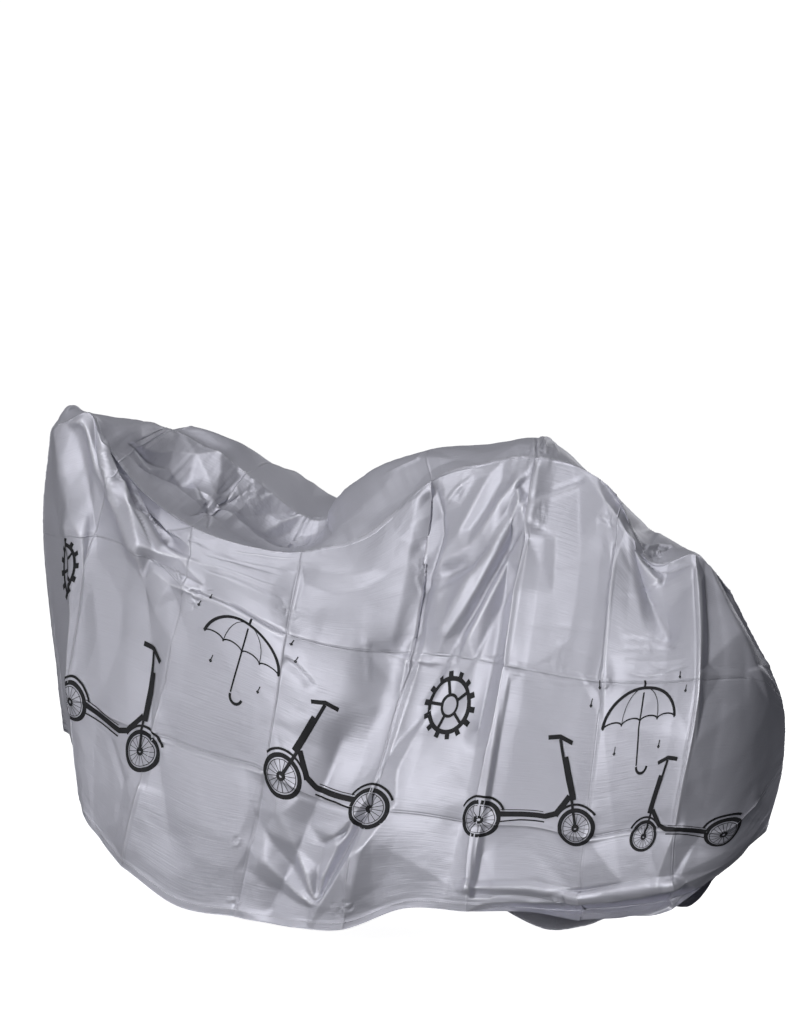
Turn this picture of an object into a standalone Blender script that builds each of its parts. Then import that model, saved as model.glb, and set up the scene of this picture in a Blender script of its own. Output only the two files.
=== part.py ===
# Fitted cover of thin film, in the shape in which it hangs in use.
# Three sewn pieces: two side panels and the strip that joins them over the top.
# Metres, +Z up, +X to the cover's rear, -Y to its near side.
# The tables below are measured from a point near the ground, below the cover's middle;
# an empty then moves the whole cover so that its holding point is the origin.

import math
from collections import namedtuple

import bmesh
import bpy
import numpy as np

CLOTH = 0.002
SEAM_GAP = 0.0003
CREASE_PITCH = 0.25
LEVEL_PITCH = 0.30
CREASES = 8
STEPS_PER_CREASE = 6
PANEL_ROWS = 22
STRIP_ROWS = 6
HELD_AT = (0.305, 0.0, 1.025)

# One row for each section of the near panel: its place along the cloth in crease
# pitches, then the point at the top seam, the two level creases and the hem.
Section = namedtuple("Section", "along seam upper lower hem")
NEAR_SECTIONS = (
    Section(0.00, (-0.735, -0.215, 1.020), (-0.797, -0.130, 0.800),
            (-0.805, -0.040, 0.470), (-0.804, 0.000, 0.358)),
    Section(0.35, (-0.670, -0.260, 1.048), (-0.715, -0.200, 0.800),
            (-0.770, -0.095, 0.460), (-0.770, -0.060, 0.345)),
    Section(0.60, (-0.615, -0.260, 1.065), (-0.660, -0.240, 0.810),
            (-0.730, -0.150, 0.463), (-0.720, -0.120, 0.315)),
    Section(0.80, (-0.590, -0.255, 1.010), (-0.630, -0.265, 0.810),
            (-0.710, -0.180, 0.464), (-0.700, -0.150, 0.270)),
    Section(1.00, (-0.555, -0.250, 0.965), (-0.604, -0.270, 0.810),
            (-0.690, -0.200, 0.465), (-0.685, -0.175, 0.230)),
    Section(1.50, (-0.485, -0.250, 0.895), (-0.476, -0.300, 0.785),
            (-0.570, -0.250, 0.430), (-0.620, -0.210, 0.165)),
    Section(2.00, (-0.382, -0.250, 0.837), (-0.367, -0.310, 0.720),
            (-0.456, -0.280, 0.403), (-0.549, -0.240, 0.116)),
    Section(2.50, (-0.265, -0.230, 0.800), (-0.245, -0.320, 0.680),
            (-0.307, -0.310, 0.370), (-0.410, -0.270, 0.045)),
    Section(3.00, (-0.150, -0.200, 0.790), (-0.130, -0.310, 0.630),
            (-0.176, -0.320, 0.344), (-0.268, -0.290, 0.031)),
    Section(3.50, (-0.010, -0.170, 0.825), (-0.005, -0.270, 0.600),
            (-0.060, -0.305, 0.290), (-0.133, -0.290, 0.017)),
    Section(4.00, (0.120, -0.140, 0.943), (0.111, -0.200, 0.590),
            (0.042, -0.280, 0.272), (-0.009, -0.280, 0.019)),
    Section(4.50, (0.241, -0.120, 0.983), (0.224, -0.210, 0.588),
            (0.175, -0.260, 0.263), (0.126, -0.270, 0.068)),
    Section(5.00, (0.353, -0.120, 0.998), (0.339, -0.220, 0.577),
            (0.279, -0.240, 0.249), (0.266, -0.260, 0.068)),
    Section(5.50, (0.460, -0.110, 0.976), (0.452, -0.235, 0.565),
            (0.413, -0.260, 0.252), (0.396, -0.250, 0.073)),
    Section(6.00, (0.545, -0.120, 0.915), (0.572, -0.250, 0.556),
            (0.542, -0.270, 0.239), (0.513, -0.240, 0.062)),
    Section(6.40, (0.615, -0.140, 0.800), (0.665, -0.255, 0.560),
            (0.630, -0.270, 0.255), (0.620, -0.230, 0.072)),
    Section(7.00, (0.722, -0.130, 0.812), (0.789, -0.250, 0.570),
            (0.740, -0.260, 0.270), (0.713, -0.220, 0.096)),
    Section(7.50, (0.776, -0.100, 0.750), (0.865, -0.170, 0.570),
            (0.830, -0.200, 0.265), (0.815, -0.170, 0.180)),
    Section(8.00, (0.810, -0.080, 0.680), (0.884, -0.060, 0.520),
            (0.886, -0.060, 0.375), (0.869, -0.100, 0.250)),
)

# The far panel has one level more, its shoulder, where it is lifted from below.
FarSection = namedtuple("FarSection", "along seam shoulder upper lower hem")
FAR_SECTIONS = (
    FarSection(0.0, (-0.700, 0.030, 0.970), (-0.760, 0.080, 0.860), (-0.810, 0.120, 0.680),
               (-0.850, 0.180, 0.460), (-0.855, 0.210, 0.370)),
    FarSection(1.0, (-0.570, 0.020, 1.014), (-0.550, 0.100, 0.984), (-0.640, 0.250, 0.700),
               (-0.700, 0.270, 0.430), (-0.740, 0.260, 0.200)),
    FarSection(1.5, (-0.490, 0.020, 0.980), (-0.470, 0.130, 0.970), (-0.530, 0.290, 0.700),
               (-0.600, 0.300, 0.400), (-0.650, 0.290, 0.120)),
    FarSection(2.0, (-0.400, 0.030, 0.930), (-0.410, 0.200, 0.925), (-0.420, 0.310, 0.690),
               (-0.490, 0.320, 0.370), (-0.540, 0.300, 0.060)),
    FarSection(2.5, (-0.297, 0.060, 0.848), (-0.360, 0.260, 0.885), (-0.310, 0.320, 0.650),
               (-0.370, 0.320, 0.340), (-0.410, 0.300, 0.030)),
    FarSection(3.0, (-0.235, 0.090, 0.840), (-0.285, 0.285, 0.832), (-0.190, 0.310, 0.600),
               (-0.240, 0.310, 0.310), (-0.280, 0.290, 0.020)),
    FarSection(4.0, (0.020, 0.125, 0.950), (0.000, 0.200, 0.780), (0.050, 0.250, 0.570),
               (0.020, 0.280, 0.280), (0.000, 0.250, 0.040)),
    FarSection(5.0, (0.260, 0.130, 0.985), (0.270, 0.190, 0.800), (0.290, 0.230, 0.550),
               (0.270, 0.250, 0.250), (0.270, 0.160, -0.020)),
    FarSection(6.0, (0.440, 0.120, 0.870), (0.460, 0.190, 0.720), (0.500, 0.240, 0.530),
               (0.500, 0.250, 0.230), (0.480, 0.150, 0.050)),
    FarSection(7.0, (0.620, 0.110, 0.760), (0.635, 0.180, 0.660), (0.670, 0.220, 0.510),
               (0.680, 0.220, 0.260), (0.630, 0.100, 0.085)),
    FarSection(7.5, (0.690, 0.100, 0.700), (0.715, 0.150, 0.610), (0.740, 0.170, 0.490),
               (0.740, 0.170, 0.310), (0.690, 0.130, 0.205)),
    FarSection(8.0, (0.740, 0.090, 0.620), (0.770, 0.090, 0.550), (0.785, 0.100, 0.470),
               (0.780, 0.100, 0.360), (0.745, 0.120, 0.260)),
)

# The strip's rise over the straight line between its two seams, at its near
# quarter, its middle and its far quarter. Place 0 is the top front corner, -1 the
# front hem, 8 the top rear corner and 9 the rear hem.
Rise = namedtuple("Rise", "place near middle far")
STRIP_RISES = (
    Rise(-1.00, 0.030, 0.040, 0.025),
    Rise(-0.67, 0.028, 0.035, 0.025),
    Rise(-0.33, 0.040, 0.055, 0.040),
    Rise(0.00, 0.042, 0.030, 0.020),
    Rise(0.20, 0.055, 0.030, 0.018),
    Rise(0.35, 0.036, 0.016, 0.014),
    Rise(0.60, 0.006, 0.012, 0.015),
    Rise(0.80, 0.028, 0.029, 0.024),
    Rise(1.20, -0.010, -0.012, -0.006),
    Rise(2.00, -0.014, -0.022, -0.020),
    Rise(3.00, -0.010, -0.012, -0.020),
    Rise(3.30, 0.030, 0.062, 0.030),
    Rise(3.60, 0.055, 0.082, 0.050),
    Rise(4.00, 0.036, 0.050, 0.040),
    Rise(4.50, 0.020, 0.026, 0.024),
    Rise(5.00, 0.024, 0.031, 0.026),
    Rise(5.50, 0.004, 0.000, 0.008),
    Rise(6.00, 0.004, 0.006, 0.006),
    Rise(6.50, 0.022, 0.030, 0.022),
    Rise(7.00, 0.008, 0.010, 0.008),
    Rise(7.50, -0.006, -0.010, -0.008),
    Rise(8.00, -0.008, -0.014, -0.010),
    Rise(8.40, -0.020, -0.035, -0.020),
    Rise(9.00, -0.015, -0.025, -0.015),
)

# A fold runs from one place on a piece to another: along in crease pitches, down
# in levels, its half width at each end and its rise, below zero for a trough.
# A sharp fold is a straight-sided crease, a soft one is a rounded swell.
Fold = namedtuple("Fold", "along0 down0 along1 down1 wide0 wide1 rise sharp")
NEAR_FOLDS = (
    Fold(0.20, 0.05, 0.62, 0.95, 0.05, 0.07, 0.012, False),
    Fold(0.62, 0.95, 1.00, 2.00, 0.07, 0.06, 0.014, False),
    Fold(0.50, 0.05, 1.10, 0.50, 0.03, 0.05, 0.010, False),
    Fold(0.85, 0.06, 1.45, 0.95, 0.03, 0.05, 0.014, True),
    Fold(1.20, 0.20, 1.75, 0.55, 0.05, 0.07, -0.018, False),
    Fold(1.60, 1.20, 2.30, 2.60, 0.06, 0.08, -0.012, False),
    Fold(2.00, 0.30, 2.00, 3.00, 0.05, 0.05, 0.006, True),
    Fold(3.00, 0.30, 3.00, 3.00, 0.05, 0.05, -0.006, True),
    Fold(3.30, 2.90, 3.60, 1.60, 0.06, 0.08, -0.016, False),
    Fold(4.00, 0.10, 4.00, 0.90, 0.03, 0.05, -0.018, True),
    Fold(4.10, 0.80, 4.00, 3.00, 0.06, 0.07, 0.014, False),
    Fold(4.85, 0.15, 4.30, 0.85, 0.03, 0.05, 0.014, False),
    Fold(4.82, 0.30, 4.80, 1.40, 0.04, 0.04, -0.014, False),
    Fold(5.05, 0.05, 5.00, 3.00, 0.04, 0.05, 0.012, True),
    Fold(6.00, 0.30, 6.00, 3.00, 0.05, 0.05, 0.007, True),
    Fold(6.30, 0.10, 6.60, 0.60, 0.04, 0.05, -0.012, False),
    Fold(7.00, 0.10, 7.00, 3.00, 0.06, 0.06, 0.010, True),
    Fold(5.00, 2.70, 7.00, 2.62, 0.03, 0.03, 0.010, True),
)
FAR_FOLDS = (
    Fold(1.20, 1.00, 0.80, 3.20, 0.06, 0.09, 0.014, False),
    Fold(2.20, 1.10, 2.60, 3.60, 0.06, 0.09, 0.016, False),
    Fold(2.70, 1.00, 3.50, 3.00, 0.05, 0.08, -0.016, False),
    Fold(4.00, 0.30, 3.80, 3.60, 0.05, 0.07, 0.010, True),
    Fold(4.90, 0.20, 4.50, 2.20, 0.05, 0.08, 0.014, False),
    Fold(5.20, 0.40, 5.50, 3.00, 0.06, 0.08, -0.014, False),
    Fold(6.00, 0.40, 6.00, 3.60, 0.05, 0.06, 0.008, True),
    Fold(7.00, 0.40, 7.00, 3.60, 0.06, 0.06, 0.009, True),
)
# On the strip, down is counted across it from the near seam at 0 to the far seam at 1.
STRIP_FOLDS = (
    Fold(0.95, 0.10, 1.60, 0.60, 0.03, 0.04, -0.012, False),
    Fold(1.70, 0.55, 2.80, 0.50, 0.04, 0.04, 0.012, False),
    Fold(1.90, 0.20, 2.10, 0.90, 0.03, 0.03, -0.012, False),
    Fold(2.90, 0.25, 3.30, 0.75, 0.03, 0.03, -0.010, False),
    Fold(4.95, 0.10, 5.05, 0.90, 0.02, 0.02, 0.008, True),
    Fold(6.20, 0.15, 6.30, 0.85, 0.03, 0.03, -0.010, False),
)


# Smooth curve through a table's values, at uneven knots.
def through(knots, values, at):
    knots = np.asarray(knots, float)
    values = np.asarray(values, float)
    spans = np.diff(knots)
    shape = (-1,) + (1,) * (values.ndim - 1)
    slopes = np.diff(values, axis=0) / spans.reshape(shape)
    tangents = np.empty_like(values)
    tangents[0], tangents[-1] = slopes[0], slopes[-1]
    before, after = spans[:-1].reshape(shape), spans[1:].reshape(shape)
    tangents[1:-1] = (slopes[:-1] * after + slopes[1:] * before) / (before + after)
    cell = np.clip(np.searchsorted(knots, at, side="right") - 1, 0, len(spans) - 1)
    span = spans[cell].reshape(shape)
    t = ((at - knots[cell]) / spans[cell]).reshape(shape)
    return ((2 * t**3 - 3 * t**2 + 1) * values[cell] + (t**3 - 2 * t**2 + t) * span * tangents[cell]
            + (3 * t**2 - 2 * t**3) * values[cell + 1] + (t**3 - t**2) * span * tangents[cell + 1])


def unit(vectors):
    return vectors / np.maximum(np.linalg.norm(vectors, axis=-1, keepdims=True), 1e-9)


# Unit normals of a grid of points, on the side that along x down points to.
def grid_normals(points):
    return unit(np.cross(np.gradient(points, axis=0), np.gradient(points, axis=1)))


# Height of all folds at each place of a grid, with both scales in metres of cloth.
def fold_heights(folds, along, down, along_scale, down_scale):
    height = np.zeros((len(along), len(down)))
    place = np.stack(np.meshgrid(along * along_scale, down * down_scale, indexing="ij"), -1)
    for fold in folds:
        start = np.array((fold.along0 * along_scale, fold.down0 * down_scale))
        run = np.array((fold.along1 * along_scale, fold.down1 * down_scale)) - start
        share = np.clip(((place - start) @ run) / (run @ run), 0, 1)
        offset = np.linalg.norm(place - start - share[..., None] * run, axis=-1)
        near = np.clip(1 - offset / (fold.wide0 + (fold.wide1 - fold.wide0) * share), 0, 1)
        height += fold.rise * (near if fold.sharp else near * near * (3 - 2 * near))
    return height


# A panel's mid surface, and its normals with the outer side positive.
def panel_surface(sections, folds, outward):
    along = np.linspace(0, CREASES, CREASES * STEPS_PER_CREASE + 1)
    levels = np.array([section[1:] for section in sections])
    last_level = levels.shape[1] - 1
    down = np.linspace(0, last_level, PANEL_ROWS + 1)
    columns = through([section.along for section in sections], levels, along)
    points = np.swapaxes(through(range(last_level + 1), np.swapaxes(columns, 0, 1), down), 0, 1)
    normals = outward * grid_normals(points)
    down_scale = LEVEL_PITCH * 3 / last_level
    points = points + fold_heights(folds, along, down, CREASE_PITCH, down_scale)[..., None] * normals
    return points, outward * grid_normals(points)


# The panel's sewn edge as one line: up the front, along the top, down the rear.
def sewn_edge(grid):
    return np.concatenate((grid[0, :0:-1], grid[:, 0], grid[-1, 1:]))


def strip_places():
    side = np.linspace(0, 1, PANEL_ROWS + 1)[1:]
    top = np.linspace(0, CREASES, CREASES * STEPS_PER_CREASE + 1)
    return np.concatenate((-side[::-1], top, CREASES + side))


# The strip's mid surface between the two panels' sewn edges.
def strip_surface(near_edge, far_edge):
    places = strip_places()
    across = np.linspace(0, 1, STRIP_ROWS + 1)
    chord = far_edge - near_edge
    path = np.gradient((near_edge + far_edge) / 2, axis=0)
    outward = unit(np.cross(path, chord))
    quarters = np.array([(0, rise.near, rise.middle, rise.far, 0) for rise in STRIP_RISES])
    quarters = through([rise.place for rise in STRIP_RISES], quarters, places)
    rises = through((0, 0.25, 0.5, 0.75, 1), quarters.T, across).T
    width = np.linalg.norm(chord, axis=1).mean()
    fade = np.sin(math.pi * across)
    rises = rises + fold_heights(STRIP_FOLDS, places, across, CREASE_PITCH, width) * fade
    points = near_edge[:, None] + chord[:, None] * across[:, None] + rises[..., None] * outward[:, None]
    return points, grid_normals(points)


# Half a sheet's thickness as an offset that suits both pieces where they are sewn.
def mitre(one, other):
    turn = np.maximum(1 + (one * other).sum(-1, keepdims=True), 0.4)
    return (one + other) / turn * CLOTH / 2


# Replace the three sewn sides of a panel's grid by the values of its sewn line.
def set_sewn_edge(grid, line):
    rows = PANEL_ROWS
    grid[0, :0:-1] = line[:rows]
    grid[:, 0] = line[rows:-rows]
    grid[-1, 1:] = line[-rows:]


# Directions from a panel's sewn line into the panel.
def into_panel(points):
    inner = points.copy()
    inner[0, :] = points[1, :]
    inner[-1, :] = points[-2, :]
    inner[:, 0] = points[:, 1]
    inner[0, 0], inner[-1, 0] = points[1, 1], points[-2, 1]
    return unit(sewn_edge(inner) - sewn_edge(points))


# The four sides of a grid as paths of its places, each the way the sewn edge runs.
def panel_sides(rows, columns):
    sewn = [(0, j) for j in range(columns - 1, 0, -1)] + [(i, 0) for i in range(rows)]
    sewn += [(rows - 1, j) for j in range(1, columns)]
    return sewn, [(i, columns - 1) for i in range(rows)]


def strip_sides(rows, columns):
    long_sides = [[(i, j) for i in range(rows)] for j in (0, columns - 1)]
    return long_sides + [[(i, j) for j in range(columns)] for i in (0, rows - 1)]


# A closed sheet: outer and inner layer of the grid, joined by a rim along its sides.
def sheet_mesh(name, points, offsets, sides):
    rows, columns = points.shape[:2]
    mesh = bmesh.new()
    layers = []
    for side in (1, -1):
        corners = points + side * offsets
        layers.append([[mesh.verts.new(corners[i, j]) for j in range(columns)] for i in range(rows)])
    outer, inner = layers
    for i in range(rows - 1):
        for j in range(columns - 1):
            for layer in layers:
                mesh.faces.new((layer[i][j], layer[i + 1][j], layer[i + 1][j + 1]))
                mesh.faces.new((layer[i][j], layer[i + 1][j + 1], layer[i][j + 1]))
    for path in sides:
        for (i, j), (k, l) in zip(path, path[1:]):
            mesh.faces.new((outer[i][j], inner[i][j], inner[k][l]))
            mesh.faces.new((outer[i][j], inner[k][l], outer[k][l]))
    bmesh.ops.recalc_face_normals(mesh, faces=mesh.faces[:])
    if mesh.calc_volume(signed=True) < 0:
        bmesh.ops.reverse_faces(mesh, faces=mesh.faces[:])
    data = bpy.data.meshes.new(name)
    mesh.to_mesh(data)
    mesh.free()
    return data


def film(name, colour, roughness):
    material = bpy.data.materials.new(name)
    material.use_nodes = True
    shader = material.node_tree.nodes["Principled BSDF"]
    shader.inputs["Base Color"].default_value = (*colour, 1)
    shader.inputs["Roughness"].default_value = roughness
    shader.inputs["Metallic"].default_value = 0.15
    return material


def add_piece(name, points, offsets, sides, material, parent):
    data = sheet_mesh(name, points, offsets, sides(*points.shape[:2]))
    data.materials.append(material)
    data.shade_smooth()
    data.set_sharp_from_angle(angle=math.radians(50))
    piece = bpy.data.objects.new(name, data)
    bpy.context.scene.collection.objects.link(piece)
    piece.parent = parent
    return piece


def build():
    for old in list(bpy.data.objects):
        bpy.data.objects.remove(old, do_unlink=True)

    place = bpy.data.objects.new("cover_place", None)
    place.location = [-value for value in HELD_AT]
    bpy.context.scene.collection.objects.link(place)

    near, near_out = panel_surface(NEAR_SECTIONS, NEAR_FOLDS, -1)
    far, far_out = panel_surface(FAR_SECTIONS, FAR_FOLDS, 1)
    strip, strip_out = strip_surface(sewn_edge(near), sewn_edge(far))

    near_off, far_off, strip_off = (out * CLOTH / 2 for out in (near_out, far_out, strip_out))
    for points, out, offsets, row, inner_row in ((near, near_out, near_off, 0, 1),
                                                 (far, far_out, far_off, -1, -2)):
        joint = mitre(sewn_edge(out), strip_out[:, row])
        set_sewn_edge(offsets, joint)
        strip_off[:, row] = joint
        apart = unit(into_panel(points) - unit(strip[:, inner_row] - strip[:, row])) * SEAM_GAP / 2
        set_sewn_edge(points, sewn_edge(points) + apart)
        strip[:, row] = strip[:, row] - apart

    add_piece("side_panel_near", near, near_off, panel_sides,
              film("near_film", (0.42, 0.42, 0.46), 0.38), place)
    add_piece("side_panel_far", far, far_off, panel_sides,
              film("far_film", (0.40, 0.40, 0.44), 0.38), place)
    add_piece("top_gusset", strip, strip_off, strip_sides,
              film("top_film", (0.41, 0.41, 0.45), 0.38), place)
    bpy.context.view_layer.update()


build()
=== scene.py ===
import math
from collections import namedtuple

import bpy
import numpy as np
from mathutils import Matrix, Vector
from mathutils.geometry import delaunay_2d_cdt


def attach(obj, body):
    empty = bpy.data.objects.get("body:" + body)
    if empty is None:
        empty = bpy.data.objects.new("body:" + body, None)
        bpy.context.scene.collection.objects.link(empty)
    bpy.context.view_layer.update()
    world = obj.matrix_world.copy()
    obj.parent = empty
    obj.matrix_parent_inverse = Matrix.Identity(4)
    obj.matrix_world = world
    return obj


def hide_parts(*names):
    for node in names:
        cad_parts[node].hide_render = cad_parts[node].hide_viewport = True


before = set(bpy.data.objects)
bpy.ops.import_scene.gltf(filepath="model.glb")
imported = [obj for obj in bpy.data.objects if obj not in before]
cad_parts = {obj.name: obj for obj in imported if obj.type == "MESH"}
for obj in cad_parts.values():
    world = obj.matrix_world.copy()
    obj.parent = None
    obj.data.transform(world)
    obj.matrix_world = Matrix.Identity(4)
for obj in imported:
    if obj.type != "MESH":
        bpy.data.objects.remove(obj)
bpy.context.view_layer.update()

print("frame loaded:", ", ".join(sorted(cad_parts)))

# The panels' tables are in the cover's own measure, from a point near the ground below
# its middle. heldAt is where the cover is held up, which is the frame's origin.
heldAt = np.array((0.305, 0.0, 1.025))
cover = {
    "creasePitch": 0.25,       # between the upright packing creases
    "levelPitch": 0.30,        # between the level packing creases
    "creases": 8,
    "stepsPerCrease": 60,      # fine mesh steps from crease to crease
    "levelSteps": 66,
    "stripSteps": 72,
    "crowding": 0.4,
    "netDepth": 1.25,          # how deep the net of creases is made, over its table
    "hemWidth": 0.018,
    "hemStep": 0.0009,
    "flank": 1.4,              # how hollow a main fold's flanks are
}

# along, then the point at the seam, the upper level crease, the lower one and the hem
nearSections = (
    (0.00, (-0.735, -0.215, 1.020), (-0.797, -0.130, 0.800), (-0.805, -0.040, 0.470), (-0.804, 0.000, 0.358)),
    (0.35, (-0.670, -0.260, 1.048), (-0.715, -0.200, 0.800),
     (-0.770, -0.095, 0.460), (-0.770, -0.060, 0.345)),
    (0.60, (-0.615, -0.260, 1.065), (-0.660, -0.240, 0.810),
     (-0.730, -0.150, 0.463), (-0.720, -0.120, 0.315)),
    (0.80, (-0.590, -0.255, 1.010), (-0.630, -0.265, 0.810),
     (-0.710, -0.180, 0.464), (-0.700, -0.150, 0.270)),
    (1.00, (-0.555, -0.250, 0.965), (-0.604, -0.270, 0.810),
     (-0.690, -0.200, 0.465), (-0.685, -0.175, 0.230)),
    (1.50, (-0.485, -0.250, 0.895), (-0.476, -0.300, 0.785),
     (-0.570, -0.250, 0.430), (-0.620, -0.210, 0.165)),
    (2.00, (-0.382, -0.250, 0.837), (-0.367, -0.310, 0.720),
     (-0.456, -0.280, 0.403), (-0.549, -0.240, 0.116)),
    (2.50, (-0.265, -0.230, 0.800), (-0.245, -0.320, 0.680),
     (-0.307, -0.310, 0.370), (-0.410, -0.270, 0.045)),
    (3.00, (-0.150, -0.200, 0.790), (-0.130, -0.310, 0.630),
     (-0.176, -0.320, 0.344), (-0.268, -0.290, 0.031)),
    (3.50, (-0.010, -0.170, 0.825), (-0.005, -0.270, 0.600),
     (-0.060, -0.305, 0.290), (-0.133, -0.290, 0.017)),
    (4.00, (0.120, -0.140, 0.943), (0.111, -0.200, 0.590), (0.042, -0.280, 0.272), (-0.009, -0.280, 0.019)),
    (4.50, (0.241, -0.120, 0.983), (0.224, -0.210, 0.588), (0.175, -0.260, 0.263), (0.126, -0.270, 0.068)),
    (5.00, (0.353, -0.120, 0.998), (0.339, -0.220, 0.577), (0.279, -0.240, 0.249), (0.266, -0.260, 0.068)),
    (5.50, (0.460, -0.110, 0.976), (0.452, -0.235, 0.565), (0.413, -0.260, 0.252), (0.396, -0.250, 0.073)),
    (6.00, (0.545, -0.120, 0.915), (0.572, -0.250, 0.556), (0.542, -0.270, 0.239), (0.513, -0.240, 0.062)),
    (6.40, (0.615, -0.140, 0.800), (0.665, -0.255, 0.560), (0.630, -0.270, 0.255), (0.620, -0.230, 0.072)),
    (7.00, (0.722, -0.130, 0.812), (0.789, -0.250, 0.570), (0.740, -0.260, 0.270), (0.713, -0.220, 0.096)),
    (7.50, (0.776, -0.100, 0.750), (0.865, -0.170, 0.570), (0.830, -0.200, 0.265), (0.815, -0.170, 0.180)),
    (8.00, (0.810, -0.080, 0.680), (0.884, -0.060, 0.520), (0.886, -0.060, 0.375), (0.869, -0.100, 0.250)),
)

# the far panel has a shoulder too, between its seam and its upper level crease
farSections = (
    (0.0, (-0.700, 0.030, 0.970), (-0.760, 0.080, 0.860), (-0.810, 0.120, 0.680), (-0.850, 0.180, 0.460),
     (-0.855, 0.210, 0.370)),
    (1.0, (-0.570, 0.020, 1.014), (-0.550, 0.100, 0.984), (-0.640, 0.250, 0.700), (-0.700, 0.270, 0.430),
     (-0.740, 0.260, 0.200)),
    (1.5, (-0.490, 0.020, 0.980), (-0.470, 0.130, 0.970), (-0.530, 0.290, 0.700), (-0.600, 0.300, 0.400),
     (-0.650, 0.290, 0.120)),
    (2.0, (-0.400, 0.030, 0.930), (-0.410, 0.200, 0.925), (-0.420, 0.310, 0.690), (-0.490, 0.320, 0.370),
     (-0.540, 0.300, 0.060)),
    (2.5, (-0.297, 0.060, 0.848), (-0.360, 0.260, 0.885), (-0.310, 0.320, 0.650), (-0.370, 0.320, 0.340),
     (-0.410, 0.300, 0.030)),
    (3.0, (-0.235, 0.090, 0.840), (-0.285, 0.285, 0.832), (-0.190, 0.310, 0.600), (-0.240, 0.310, 0.310),
     (-0.280, 0.290, 0.020)),
    (4.0, (0.020, 0.125, 0.950), (0.000, 0.200, 0.780), (0.050, 0.250, 0.570), (0.020, 0.280, 0.280),
     (0.000, 0.250, 0.040)),
    (5.0, (0.260, 0.130, 0.985), (0.270, 0.190, 0.800), (0.290, 0.230, 0.550), (0.270, 0.250, 0.250),
     (0.270, 0.160, -0.020)),
    (6.0, (0.440, 0.120, 0.870), (0.460, 0.190, 0.720), (0.500, 0.240, 0.530), (0.500, 0.250, 0.230),
     (0.480, 0.150, 0.050)),
    (7.0, (0.620, 0.110, 0.760), (0.635, 0.180, 0.660), (0.670, 0.220, 0.510), (0.680, 0.220, 0.260),
     (0.630, 0.100, 0.085)),
    (7.5, (0.690, 0.100, 0.700), (0.715, 0.150, 0.610), (0.740, 0.170, 0.490), (0.740, 0.170, 0.310),
     (0.690, 0.130, 0.205)),
    (8.0, (0.740, 0.090, 0.620), (0.770, 0.090, 0.550), (0.785, 0.100, 0.470), (0.780, 0.100, 0.360),
     (0.745, 0.120, 0.260)),
)

# the strip's rise at place, near quarter, middle and far quarter; -1 is the front hem,
# 0 and 8 are the top corners and 9 is the rear hem
stripRises = (
    (-1.00, 0.030, 0.040, 0.025), (-0.67, 0.028, 0.035, 0.025), (-0.33, 0.040, 0.055, 0.040),
    (0.00, 0.042, 0.030, 0.020), (0.20, 0.055, 0.030, 0.018), (0.35, 0.036, 0.016, 0.014),
    (0.60, 0.006, 0.012, 0.015), (0.80, 0.028, 0.029, 0.024), (1.20, -0.010, -0.012, -0.006),
    (2.00, -0.014, -0.022, -0.020), (3.00, -0.010, -0.012, -0.020), (3.30, 0.030, 0.062, 0.030),
    (3.60, 0.055, 0.082, 0.050), (4.00, 0.036, 0.050, 0.040), (4.50, 0.020, 0.026, 0.024),
    (5.00, 0.024, 0.031, 0.026), (5.50, 0.004, 0.000, 0.008), (6.00, 0.004, 0.006, 0.006),
    (6.50, 0.022, 0.030, 0.022), (7.00, 0.008, 0.010, 0.008), (7.50, -0.006, -0.010, -0.008),
    (8.00, -0.008, -0.014, -0.010), (8.40, -0.020, -0.035, -0.020), (9.00, -0.015, -0.025, -0.015),
)

# main folds, from place to place on the cloth: along, down, along, down, half widths, rise
nearMainFolds = (
    (0.20, 0.05, 0.62, 0.95, 0.05, 0.07, 0.012), (0.62, 0.95, 1.00, 2.00, 0.07, 0.06, 0.014),
    (0.50, 0.05, 1.10, 0.50, 0.03, 0.05, 0.010), (0.85, 0.06, 1.45, 0.95, 0.03, 0.05, 0.014),
    (1.20, 0.20, 1.75, 0.55, 0.05, 0.07, -0.018), (1.60, 1.20, 2.30, 2.60, 0.06, 0.08, -0.012),
    (2.00, 0.30, 2.00, 3.00, 0.05, 0.05, 0.006), (3.00, 0.30, 3.00, 3.00, 0.05, 0.05, -0.006),
    (3.30, 2.90, 3.60, 1.60, 0.06, 0.08, -0.016), (4.00, 0.10, 4.00, 0.90, 0.03, 0.05, -0.018),
    (4.10, 0.80, 4.00, 3.00, 0.06, 0.07, 0.014), (4.85, 0.15, 4.30, 0.85, 0.03, 0.05, 0.014),
    (4.82, 0.30, 4.80, 1.40, 0.04, 0.04, -0.014), (5.05, 0.05, 5.00, 3.00, 0.04, 0.05, 0.012),
    (6.00, 0.30, 6.00, 3.00, 0.05, 0.05, 0.007), (6.30, 0.10, 6.60, 0.60, 0.04, 0.05, -0.012),
    (7.00, 0.10, 7.00, 3.00, 0.06, 0.06, 0.010), (5.00, 2.70, 7.00, 2.62, 0.03, 0.03, 0.010),
)
farMainFolds = (
    (1.20, 1.00, 0.80, 3.20, 0.06, 0.09, 0.014), (2.20, 1.10, 2.60, 3.60, 0.06, 0.09, 0.016),
    (2.70, 1.00, 3.50, 3.00, 0.05, 0.08, -0.016), (4.00, 0.30, 3.80, 3.60, 0.05, 0.07, 0.010),
    (4.90, 0.20, 4.50, 2.20, 0.05, 0.08, 0.014), (5.20, 0.40, 5.50, 3.00, 0.06, 0.08, -0.014),
    (6.00, 0.40, 6.00, 3.60, 0.05, 0.06, 0.008), (7.00, 0.40, 7.00, 3.60, 0.06, 0.06, 0.009),
)
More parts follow.
